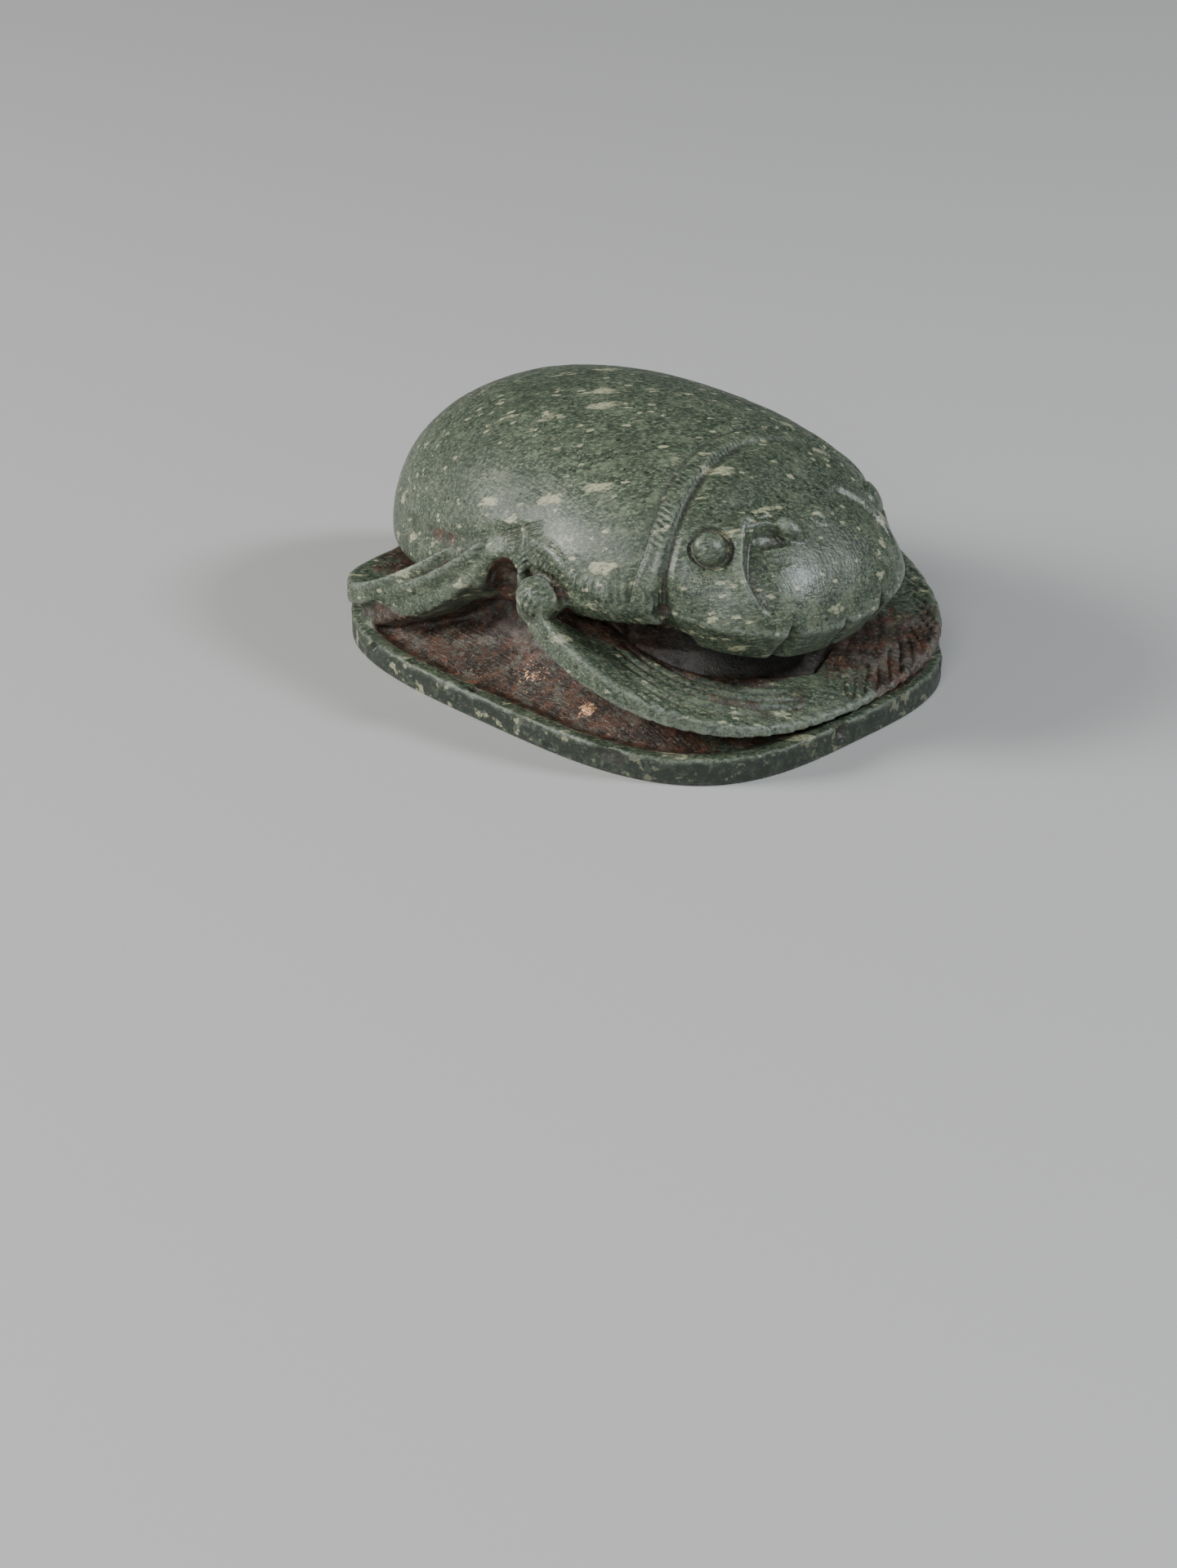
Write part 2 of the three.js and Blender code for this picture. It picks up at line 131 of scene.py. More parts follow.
# Face: distances ahead of the head's base and aside of its middle.
EYE = (2.9, -11.0)
FAR_EYE = (2.9, 13.0)
EYE_RADIUS = 1.65
EYE_HEIGHT = 1.1
FAR_EYE_HEIGHT = 0.3
EYE_RING_WIDTH = 0.6
LID = (3.0, -8.7)
LID_RADIUS = 0.8
LID_HEIGHT = 0.4
LID_PIT = (3.9, -7.9)
LID_PIT_RADIUS = 0.4
BOSSES = ((6.4, -3.1, 1.5, 0.85, 0.95), (6.27, 1.4, 1.0, 0.65, 0.5))
BOSS_TURN = math.radians(45)
FACE_RIDGE = (
    (4.0, 6.9),
    (5.0, 8.2),
    (5.8, 9.2),
    (6.5, 9.9),
    (7.3, 10.3),
    (8.2, 10.35),
    (9.3, 10.1),
    (10.3, 9.6),
)
RIDGE_WIDTH_OUT = 0.9
RIDGE_WIDTH_IN = 0.4
RIDGE_OFFSET = 0.3
HOLLOW_LENGTH = 1.5
RIDGE_RISE = 0.55
RIDGE_HOLLOW = 0.85
FAR_RELIEF = 0.35
BROW_BRANCH = ((4.1, 7.0), (4.4, 6.1), (4.9, 5.2), (5.4, 4.5))
BROW_RADIUS = 0.6
BROW_HOLLOW = ((5.6, 6.2), (5.8, 5.4), (6.2, 4.7))
BROW_HOLLOW_RADIUS = 0.9
HEAD_EDGE_HIGH = 11.0
HEAD_EDGE_LIFT = 1.7
HEAD_EDGE_LEAN = 0.75
HEAD_EDGE_OUT = 0.25
# Strength of the painted highlight along the head's lower edge.
HEAD_LINE_HIGHLIGHT = 0.16

# Shield's lower edge on each flank, from behind to the neck: its heights are above the floor.
LOBE_PLACES = (-1.0, 0.7, 1.2, 4.0, 7.2, 12.6, 16.6, 18.0)
LOBE_HEIGHTS = (0.0, 0.0, 17.6, 16.1, 14.9, 15.3, 16.4, 16.4)
LOBE_BEVEL = math.radians(32)
LOBE_MARGIN = ((2.1, 19.6), (5.0, 19.2), (8.9, 17.2), (12.0, 16.9))
LOBE_MARGIN_RADIUS = 0.5
LOBE_OUTLINE = (
    (-0.2, 20.6),
    (0.6, 19.0),
    (2.0, 17.6),
    (4.0, 16.4),
    (6.5, 15.5),
    (9.5, 15.1),
    (12.6, 15.4),
    (15.5, 16.4),
)
LOBE_OUTLINE_LENGTH = 17.0

# Hatching on the shield's front band and its lower margin.
HATCH_SPACING = 0.62
BAND_HATCH = 0.55
FAR_BAND_HATCH = 0.1
HATCH_DEPTH = 0.05

# Channel under the wing cases' margin: places along the flank and heights above the floor.
WING_CHANNEL = ((-18.8, 14.0), (-14.9, 14.8), (-11.5, 15.4), (-8.6, 16.2), (-4.3, 18.0), (-0.9, 19.2))
WING_CHANNEL_RADIUS = 0.9
WING_CHANNEL_LIFT = 0.5

# Shoulder knobs, the crease over them, and the notch between wing case and shield.
SHOULDER = (4.7, 20.1, 11.8)
SHOULDER_SIZE = (2.7, 2.6, 2.4)
SHOULDER_CREASE = ((1.9, 16.9), (5.9, 16.4), (8.4, 14.6), (11.0, 13.0))
SHOULDER_CREASE_RADIUS = 0.55
FLANK_NOTCH_AHEAD = 0.4
FLANK_NOTCH_TOP = 17.4
FLANK_NOTCH_FOOT = 14.0
FLANK_NOTCH_SLANT = 1.6
FLANK_NOTCH_RADIUS = 0.35

# Top of the recess, between the front and the middle leg.
RECESS_PEAK = (-1.5, 20.8, 8.2)
RECESS_PEAK_SIZE = (3.4, 5.6, 5.7)
RECESS_FOOT = (-3.6, 21.2, 5.2)
RECESS_FOOT_SIZE = (4.8, 6.0, 4.8)
RECESS_CLEARANCE = 0.2
MOUTH_REACH = 5.0
MOUTH_SIDE = 19.0
CORNER_PIT = (17.3, 15.7, 12.7)
CORNER_PIT_SIZE = (0.9, 1.1, 0.9)

# Places that handling has polished, each with its reach.
POLISHED = (
    ((26.7, -4.5, 18.4), 3.2),
    ((20.4, -3.1, 23.8), 2.8),
    ((22.9, -3.1, 21.8), 1.2),
    ((14.3, -10.5, 23.0), 2.0),
    ((5.5, -18.6, 19.0), 2.2),
    ((-2.2, -18.4, 19.3), 1.8),
    ((7.5, -20.5, 12.0), 2.5),
    ((5.0, -22.0, 14.8), 1.5),
    ((20.4, -13.5, 19.5), 2.5),
)

# Places where bare metal shows in the residue, each with its reach.
GLINTS = (
    ((1.3, -18.5, 3.6), 0.9),
    ((3.2, -17.8, 3.6), 1.1),
    ((10.5, -19.3, 3.6), 1.0),
    ((-4.0, -22.0, 3.0), 0.9),
    ((-7.0, -21.5, 3.0), 0.6),
    ((-1.5, -17.0, 9.0), 0.7),
)

HEAD_POLISH = 0.5

# How thickly residue lies on the rear shelf, the plate and the channel under the wing cases.
SHELF_DIRT = 0.55
FAR_PLATE_DIRT = 0.7
PLATE_DIRT = 0.3
CHANNEL_DIRT = 0.45

# How dark the painted shade makes the undersides, the hollows, the creases and the deep places.
UNDERSIDE_SHADE = 0.75
HOLLOW_SHADE = 0.5
CREASE_SHADE = 0.65
DEEP_SHADE = 0.8

# Front legs and the plate that they widen into.
FRONT_END = 88.0
FRONT_EDGE_INSET = -0.1
FRONT_SHOULDER_INSET = 3.2
FRONT_INSET_POWER = 4.0
FRONT_EDGE_LOW = 0.7
FRONT_SHOULDER_LOW = 10.2
FRONT_EDGE_THICKNESS = 0.9
FRONT_SHOULDER_THICKNESS = 4.2
FRONT_EDGE_SLOPE = 0.4
FRONT_WIDTH = 6.0
FRONT_BULGE = 4.5
FRONT_SHOULDER_WIDTH = 7.5
FRONT_RISE = 3.1
FRONT_SHOULDER_RISE = 12.6
FRONT_ROOT = 0.5
FRONT_SHOULDER_ROOT = 7.5
FRONT_RISE_POWER = 1.7
TOOTH_COUNT = 25
TOOTH_DEPTH = 0.5
TOOTH_SLANT = 0.75
TOOTH_WAVES = (17, 41)
TOOTH_AT_EDGE = 0.25
TOOTH_OUTER = (0.1, 0.9)
TOOTH_INNER = (2.0, 4.4)
TOOTH_FADE = 0.1
TROUGH_DEPTH = 0.6
TROUGH_PLACE = 0.6
TROUGH_WIDTH = 0.2
TROUGH_START = (0.5, 0.75)
PLATE_TOP = (0.3, 0.9)
TOOTH_UNEVENNESS = 0.25
TOOTH_REACH = 0.62
STRIATION_COUNT = 6.0
STRIATION_DEPTH = 0.75
STRIATION_DRIFT = 0.9
STRIATION_SHARPNESS = 1.5
STRIATION_START = (0.08, 0.20)
STRIATION_END = (0.52, 0.66)
STRIATION_OUTER = (0.16, 0.3)
STRIATION_INNER = (0.85, 0.97)
FAR_STRIATIONS = 0.2
PLATE_MIDDLE = (-2.0, 4.0)

# Middle legs.
MID_START = 104.0
MID_END = 142.0
MID_INSET = 4.4
MID_END_INSET = 0.6
MID_WIDTH = 8.0
MID_LOW = 11.7
MID_HIGH = 15.1
MID_DROP = 13.4
MID_LOW_POWER = 0.75
MID_HIGH_POWER = 0.95
MID_TOOTH = 2.1
MID_TOOTH_DEPTH = 0.3
MID_FLUTE_DEPTH = 0.4
MID_FLUTE_WIDTH = 0.9
MID_TOOTH_LEAN = 9
MID_TOOTH_RISE = (0.3, 1.3)
MID_TOOTH_START = (0.1, 0.25)
MID_TOOTH_END = (0.7, 0.85)
MID_OUTER = (1.0, 2.0)

# Hind legs and the shelf round the rear.
HIND_START = 119.0
HIND_END = 181.0
HIND_KNEE = 0.36
HIND_SHELF_INSET = 2.5
HIND_KNEE_INSET = -0.5
HIND_ROOT_INSET = 5.5
HIND_LOW = 1.4
HIND_HIGH = 4.0
HIND_ROOT = 14.0
HIND_RISE = 3.9
HIND_DROP = 8.6
HIND_FALL_POWER = 1.35
HIND_ROUND_LENGTH = 0.3

# Wear and breakage, as layers of noise: the depth, the size of its features, and the seed.
WEAR = ((0.05, 3.1, 11), (0.025, 1.1, 12))
BROKEN_SIDE = ((0.13, 1.7, 13), (0.07, 0.8, 14))
CRUST_LUMPS = ((0.16, 1.3, 16), (0.08, 0.7, 17))
CRUMBLED = ((0.5, 1.9, 19), (0.25, 0.9, 20))
CHIP_DEPTH = 0.55
CHIP_SIZE = 2.3
CHIP_SHARE = (0.45, 0.85)

# Mesh.
GRID_STEP = 0.24
GRID_MARGIN = 1.2
MOST_TRIANGLES = 190_000

# Reaches over which hollows and edges are felt out.
NEAR = 0.5
WIDE = 1.2
VERY_WIDE = 3.0

# Joins between forms.
CRISP = 0.35
SOFT = 0.9
BROAD = 1.8
FAR_AWAY = 9.0


def smooth_min(a, b, blend):
    """Joins two forms with a fillet."""
    near = np.maximum(blend - np.abs(a - b), 0) / blend
    return np.minimum(a, b) - near * near * blend / 4


def smooth_max(a, b, blend):
    """Keeps what two forms share, with a rounded edge."""
    return -smooth_min(-a, -b, blend)


def cut(form, tool, blend):
    """Cuts a tool out of a form, with a rounded edge."""
    return smooth_max(form, -tool, blend)


def ramp(value, low, high):
    """Smooth step from 0 at one value to 1 at another."""
    share = np.clip((value - low) / (high - low), 0, 1)
    return share * share * (3 - 2 * share)


def fade(value, low, high):
    """Smooth step from 1 at one value to 0 at another."""
    return 1 - ramp(value, low, high)


def mix(start, end, share):
    return start + (end - start) * share


def noise(points, size, seed):
    """Smooth noise from -1 to 1 with features of the given size in millimetres."""
    table = np.random.RandomState(seed).uniform(-1, 1, 4096)
    place = points / size
    cell = np.floor(place).astype(np.int64)
    share = place - cell
    share = share * share * (3 - 2 * share)
    total = np.zeros(len(points))
    for corner in np.ndindex(2, 2, 2):
        key = cell + corner
        index = (key[:, 0] * 73856093 ^ key[:, 1] * 19349663 ^ key[:, 2] * 83492791) & 4095
        weight = np.prod(np.where(corner, share, 1 - share), axis=1)
        total += weight * table[index]
    return total


def layered(points, layers):
    return sum(depth * noise(points, size, seed) for depth, size, seed in layers)


def grid_axis(low, high):
    return np.arange(low - GRID_MARGIN, high + GRID_MARGIN, GRID_STEP, dtype=np.float32)


# The carving's own origin is the point that the plinth's ovals are drawn from.
shift = cad_low.x / MM + PLINTH_REAR + BACK_OVERHANG
axes = (
    grid_axis(cad_low.x / MM - shift, cad_high.x / MM - shift),
    grid_axis(cad_low.y / MM, cad_high.y / MM),
    grid_axis(0, cad_high.z / MM),
)
X = axes[0][:, None, None]
Y = axes[1][None, :, None]
Z = axes[2][None, None, :]
HEIGHT = Z - RIM
SIDE = np.abs(Y)


def oval_radius(angle, front, rear, half, squareness):
    reach = np.where(np.cos(angle) > 0, front, rear)
    along = np.abs(np.cos(angle) / reach) ** squareness
    across = np.abs(np.sin(angle) / half) ** squareness
    return (along + across) ** (-1 / squareness)


def plinth_radius(angle):
    return oval_radius(angle, PLINTH_FRONT, PLINTH_REAR, PLINTH_HALF_WIDTH, PLINTH_SQUARENESS)


PLAN_ANGLE = np.arctan2(SIDE, X)
PLAN_RADIUS = np.hypot(X, SIDE)
PLAN_EDGE = plinth_radius(PLAN_ANGLE)
INSET = PLAN_EDGE - PLAN_RADIUS
DEGREES = np.degrees(PLAN_ANGLE)


def evened(form):
    """Scales a form's values so that they run like distances."""
    slopes = np.gradient(form, GRID_STEP)
    steepness = np.sqrt(sum(slope * slope for slope in slopes))
    return (form / np.maximum(steepness, 0.01)).astype(np.float32)


def plinth():
    insets = (0, RIM_CHAMFER, RIM_WIDTH, GUTTER_INSET, BANK_INSET, BANK_TOP_INSET)
    rises = (-RIM_CHAMFER, 0, 0, -GUTTER_DEPTH, BANK_RISE, BANK_TOP_RISE)
    top = np.interp(INSET, insets, rises).astype(np.float32)
    slab = smooth_max(-INSET, HEIGHT - top, 0.2)
    return smooth_max(slab, -Z, CRISP)


def trunk():
    radius = oval_radius(
        PLAN_ANGLE,
        PLINTH_FRONT - TRUNK_FRONT_INSET,
        PLINTH_REAR - TRUNK_REAR_INSET,
        PLINTH_HALF_WIDTH - TRUNK_SIDE_INSET,
        TRUNK_SQUARENESS,
    )
    flare = np.interp(HEIGHT, TRUNK_HEIGHTS, TRUNK_FLARES)
    wall = PLAN_RADIUS - radius - flare
    return np.maximum(np.maximum(wall, HEIGHT - TRUNK_HEIGHTS[-1]), TRUNK_HEIGHTS[0] - HEIGHT)


def dome(front, rear, half, top, squareness, waists, unders):
    along = (X - BACK_CENTRE) / np.where(X > BACK_CENTRE, front, rear)
    across = SIDE / (half * (1 + BACK_FLARE * X / PLINTH_FRONT))
    reach = (np.abs(along) ** squareness + across ** squareness) ** (1 / squareness)
    share = (along + 1) / 2
    waist = mix(*waists, share)
    under = np.maximum(mix(*unders, share), 0.5)
    rise = (HEIGHT - waist) / np.where(HEIGHT > waist, top - waist, under)
    return evened((reach ** BACK_SQUARENESS + np.abs(rise) ** BACK_SQUARENESS) ** (1 / BACK_SQUARENESS) - 1)


def dome_height(form, x, y):
    front, rear, half, top, squareness, waists, _ = form
    along = (x - BACK_CENTRE) / (front if x > BACK_CENTRE else rear)
    across = y / (half * (1 + BACK_FLARE * x / PLINTH_FRONT))
    reach = (abs(along) ** squareness + abs(across) ** squareness) ** (1 / squareness)
    waist = mix(*waists, (along + 1) / 2)
    return waist + (top - waist) * max(1 - reach ** BACK_SQUARENESS, 0) ** (1 / BACK_SQUARENESS)


BACK_FORM = (
    PLINTH_FRONT - BACK_CENTRE - BACK_FRONT_INSET,
    PLINTH_REAR + BACK_CENTRE + BACK_OVERHANG,
    PLINTH_HALF_WIDTH - BACK_SIDE_INSET,
    BACK_TOP,
    BACK_SQUARENESS,
    BACK_WAIST,
    BACK_UNDER,
)
HEAD_FORM = (
    PLINTH_FRONT - HEAD_FRONT_INSET - BACK_CENTRE + HEAD_DOME_OVERRUN,
    BACK_FORM[1],
    PLINTH_HALF_WIDTH - HEAD_DOME_SIDE_INSET,
    HEAD_DOME_TOP,
    HEAD_DOME_SQUARENESS,
    (HEAD_DOME_WAIST, HEAD_DOME_WAIST),
    (1.0, 1.0),
)
HEAD_REACH = PLINTH_FRONT - HEAD_FRONT_INSET - HEAD_BASE
HEAD_HALF_WIDTH = PLINTH_HALF_WIDTH - HEAD_SIDE_INSET
NECK_HALF_WIDTH = HEAD_HALF_WIDTH - NECK_SIDE_INSET


def neck_at(y):
    side = np.minimum(np.abs(y), NECK_HALF_WIDTH + 1)
    return NECK_MIDDLE + NECK_BEND * (side / NECK_HALF_WIDTH) ** NECK_BEND_POWER


def neck_slope(y):
    side = np.minimum(np.abs(y), NECK_HALF_WIDTH)
    rate = NECK_BEND * NECK_BEND_POWER / NECK_HALF_WIDTH
    return rate * (side / NECK_HALF_WIDTH) ** (NECK_BEND_POWER - 1)


def ahead_of_neck(x, y):
    """Distance in plan ahead of the arc where the shield ends."""
    return (x - neck_at(y)) / np.sqrt(1 + neck_slope(y) ** 2)


def on_head(ahead, y):
    x = HEAD_BASE + ahead
    return np.array((x, y, dome_height(HEAD_FORM, x, y)))


def head(surface):
    share = np.maximum(X - HEAD_BASE, 0) / HEAD_REACH
    side = SIDE / HEAD_HALF_WIDTH
    oval = (share ** HEAD_SQUARENESS + side ** HEAD_SQUARENESS) ** (1 / HEAD_SQUARENESS) - 1
    edge = evened(np.broadcast_to(oval, surface.shape))
    under = HEAD_UNDERSIDE + HEAD_UNDERSIDE_LIFT * (SIDE / HEAD_HALF_WIDTH) ** 2 - HEIGHT
    rim = HEAD_EDGE_HIGH + HEAD_EDGE_LIFT * side ** 2
    lean = HEAD_EDGE_LEAN * (rim - HEIGHT)
    edge = smooth_max(edge, (edge + lean) / math.hypot(1, HEAD_EDGE_LEAN), CRISP / 2)
    plate = smooth_max(smooth_max(surface, edge - HEAD_EDGE_OUT, CRISP / 2), under, CRISP)
    for y, half, depth in NOTCHES:
        place = 1 - (abs(y) / HEAD_HALF_WIDTH) ** HEAD_SQUARENESS
        foot = HEAD_BASE + HEAD_REACH * place ** (1 / HEAD_SQUARENESS) - depth
        foot = foot - HEAD_EDGE_LEAN * np.maximum(rim - HEIGHT, 0) + NOTCH_RISE * np.maximum(HEIGHT - rim, 0)
        slope = half / (depth + NOTCH_RUN)
        wedge = (np.abs(Y - y) - slope * (X - foot)) / math.hypot(1, slope)
        plate = cut(plate, wedge, CRISP)
    return plate


def polyline_distance(points, x, y):
    """Plan distance from a bent line, and the share of the way along it."""
    best = None
    count = len(points) - 1
    for i, (start, end) in enumerate(zip(points, points[1:])):
        run = (end[0] - start[0], end[1] - start[1])
        length = run[0] ** 2 + run[1] ** 2
        share = np.clip(((x - start[0]) * run[0] + (y - start[1]) * run[1]) / length, 0, 1)
        away = np.hypot(x - start[0] - share * run[0], y - start[1] - share * run[1])
        if best is None:
            best = (away, share / count)
        else:
            closer = away < best[0]
            along = np.where(closer, (i + share) / count, best[1])
            best = (np.where(closer, away, best[0]), along)
    return best


def from_axis(ahead, y):
    """Distance from the line that stands square on the head at a place."""
    centre = on_head(ahead, y)
    normal = np.cross(on_head(ahead + 0.5, y) - centre, on_head(ahead, y + 0.5) - centre)
    normal /= np.linalg.norm(normal)
    away = (X - centre[0], Y - centre[1], HEIGHT - centre[2])
    along = sum(a * n for a, n in zip(away, normal))
    square = sum(a * a for a in away) - along * along
    return np.sqrt(np.maximum(square, 0))


def ellipsoid(centre, radii):
    """Oval form, the same on both flanks."""
    away = (X - centre[0], SIDE - centre[1], HEIGHT - centre[2])
    reach = np.sqrt(sum((a / r) ** 2 for a, r in zip(away, radii)))
    return (reach - 1) * min(radii)


def button(reach, surface, radius, height):
    """Low round boss on a surface."""
    return (np.hypot(reach / radius, surface / height) - 1) * height


def section(corners, rounding=0.5):
    """Distance from a four-sided section, drawn as insets and heights round the plinth."""
    centre = [sum(corner[i] for corner in corners) / 4 for i in (0, 1)]
    form = None
    for start, end in zip(corners, corners[1:] + corners[:1]):
        run = (end[0] - start[0], end[1] - start[1])
        length = np.maximum(np.hypot(run[0], run[1]), 1e-3)
        normal = (run[1] / length, -run[0] / length)
        inner = (centre[0] - start[0]) * normal[0] + (centre[1] - start[1]) * normal[1]
        turn = -np.sign(inner)
        side = turn * ((INSET - start[0]) * normal[0] + (HEIGHT - start[1]) * normal[1])
        form = side if form is None else smooth_max(form, side, rounding)
    return form


def swell(start, end, share, bend=1.0):
    return mix(start, end, np.clip(share, 0, 1) ** bend)


FRONT_SHARE = DEGREES / FRONT_END


def front_corners(share):
    """Insets and heights of the front leg's four rails, from the middle of the front to the shoulder."""
    inset = swell(FRONT_EDGE_INSET, FRONT_SHOULDER_INSET, share, FRONT_INSET_POWER)
    low = swell(FRONT_EDGE_LOW, FRONT_SHOULDER_LOW, share, FRONT_RISE_POWER)
    thickness = swell(FRONT_EDGE_THICKNESS, FRONT_SHOULDER_THICKNESS, share, FRONT_RISE_POWER)
    bulge = FRONT_BULGE * np.sin(math.pi * np.clip(share, 0, 1))
    width = swell(FRONT_WIDTH, FRONT_SHOULDER_WIDTH, share) + bulge
    rise = swell(FRONT_RISE, FRONT_SHOULDER_RISE, share, FRONT_RISE_POWER)
    root = swell(FRONT_ROOT, FRONT_SHOULDER_ROOT, share, FRONT_RISE_POWER)
    return [(inset, low), (inset + FRONT_EDGE_SLOPE, low + thickness), (width, rise), (width, root)]


def front_legs():
    corners = front_corners(FRONT_SHARE)
    edge = corners[1][0]
    across = np.clip((INSET - edge) / (corners[2][0] - edge), 0, 1)
    # Oblique cuts across the margin, unevenly spaced, that reach the outer edge faintly.
    spacing = FRONT_SHARE * TOOTH_COUNT + TOOTH_UNEVENNESS * np.sin(TOOTH_WAVES[0] * FRONT_SHARE)
    ripple = TOOTH_UNEVENNESS / 2 * np.sin(TOOTH_WAVES[1] * FRONT_SHARE)
    lean = spacing + ripple - (INSET - edge) * TOOTH_SLANT
    tooth = (lean % 1) ** 2
    near_edge = mix(TOOTH_AT_EDGE, 1.0, ramp(INSET - edge, *TOOTH_OUTER)) * fade(INSET - edge, *TOOTH_INNER)
    reach = fade(FRONT_SHARE, TOOTH_REACH - TOOTH_FADE, TOOTH_REACH)
    notches = TOOTH_DEPTH * tooth * near_edge * reach
    # Long striations that run down the leg and out over the plate.
    run = ramp(FRONT_SHARE, *STRIATION_START) * fade(FRONT_SHARE, *STRIATION_END)
    lines = np.abs(np.sin(math.pi * STRIATION_COUNT * (across - STRIATION_DRIFT * FRONT_SHARE)))
    striations = STRIATION_DEPTH * (1 - lines) ** STRIATION_SHARPNESS * run
    striations = striations * ramp(across, *STRIATION_OUTER) * fade(across, *STRIATION_INNER)
    striations = striations * mix(1.0, FAR_STRIATIONS, ramp(Y, *PLATE_MIDDLE))
    # Hollow between the leg's outer rib and the body.
    trough = TROUGH_DEPTH * np.exp(-((across - TROUGH_PLACE) / TROUGH_WIDTH) ** 2)
    trough = trough * ramp(FRONT_SHARE, *TROUGH_START)
    form = section(corners) + notches
    top = form + (striations + trough) * ramp(HEIGHT - corners[0][1], *PLATE_TOP)
    end = (DEGREES - FRONT_END) * math.radians(1) * PLAN_RADIUS
    return smooth_max(top, end, BROAD)


def mid_legs():
    share = np.clip((DEGREES - MID_START) / (MID_END - MID_START), 0, 1)
    inset = swell(MID_INSET, MID_END_INSET, share)
    low = swell(MID_LOW, MID_LOW - MID_DROP, share, MID_LOW_POWER)
    high = swell(MID_HIGH, MID_HIGH - MID_DROP, share, MID_HIGH_POWER)
    form = section([(inset, low), (inset, high), (inset + MID_WIDTH, high), (inset + MID_WIDTH, low)])
    flute = MID_FLUTE_DEPTH * np.exp(-((HEIGHT - (low + high) / 2) / MID_FLUTE_WIDTH) ** 2)
    tooth = MID_TOOTH_DEPTH * ((DEGREES + MID_TOOTH_LEAN * (HEIGHT - low)) / MID_TOOTH % 1)
    near_edge = ramp(share, *MID_TOOTH_START) * fade(share, *MID_TOOTH_END)
    near_edge = fade(HEIGHT - low, *MID_TOOTH_RISE) * near_edge
    form = form + (flute + tooth * near_edge) * fade(INSET - inset, *MID_OUTER)
    start = (MID_START - DEGREES) * math.radians(1) * PLAN_RADIUS
    end = (DEGREES - MID_END) * math.radians(1) * PLAN_RADIUS
    return smooth_max(smooth_max(form, start, SOFT), end, SOFT)


def hind_legs():
    share = np.clip((DEGREES - HIND_START) / (HIND_END - HIND_START), 0, 1)
    fall = np.maximum(1 - share / HIND_KNEE, 0) ** HIND_FALL_POWER
    turn = ramp(share, HIND_KNEE, HIND_KNEE + HIND_ROUND_LENGTH)
    inset = HIND_KNEE_INSET + (HIND_ROOT_INSET - HIND_KNEE_INSET) * fall
    inset = inset + (HIND_SHELF_INSET - HIND_KNEE_INSET) * turn
    drop = HIND_DROP * fall
    form = section([
        (inset, HIND_LOW + drop),
        (inset, HIND_HIGH + drop),
        (HIND_ROOT, HIND_RISE + drop),
        (HIND_ROOT, HIND_LOW + drop),
    ])
    start = (HIND_START - DEGREES) * math.radians(1) * PLAN_RADIUS
    return smooth_max(form, start, SOFT)


def lobe_edge(x):
    return np.interp(x, LOBE_PLACES, LOBE_HEIGHTS)


def shield_and_wings(back):
    """The back, ended at the neck, with the shield's bevelled lower edge, margins and notches."""
    shield = smooth_max(back, ahead_of_neck(X, Y), SOFT)
    bevel = back * math.cos(LOBE_BEVEL) + (lobe_edge(X) - Z) * math.sin(LOBE_BEVEL)
    shield = smooth_max(shield, bevel, CRISP)
    margin_away, _ = polyline_distance(LOBE_MARGIN, X, Z)
    margin = np.hypot(margin_away, back + 0.2) - LOBE_MARGIN_RADIUS
    shield = smooth_min(shield, margin, SOFT)
    channel_away, _ = polyline_distance(WING_CHANNEL, X, Z)
    channel = np.hypot(channel_away, back - WING_CHANNEL_LIFT) - WING_CHANNEL_RADIUS
    shield = cut(shield, channel, SOFT)
    run = np.clip((FLANK_NOTCH_TOP - HEIGHT) / (FLANK_NOTCH_TOP - FLANK_NOTCH_FOOT), 0, 1.3)
    above = np.maximum(HEIGHT - FLANK_NOTCH_TOP, 0)
    notch = np.sqrt((X - FLANK_NOTCH_AHEAD - FLANK_NOTCH_SLANT * run) ** 2 + back ** 2 + above ** 2)
    return cut(shield, notch - FLANK_NOTCH_RADIUS, CRISP)


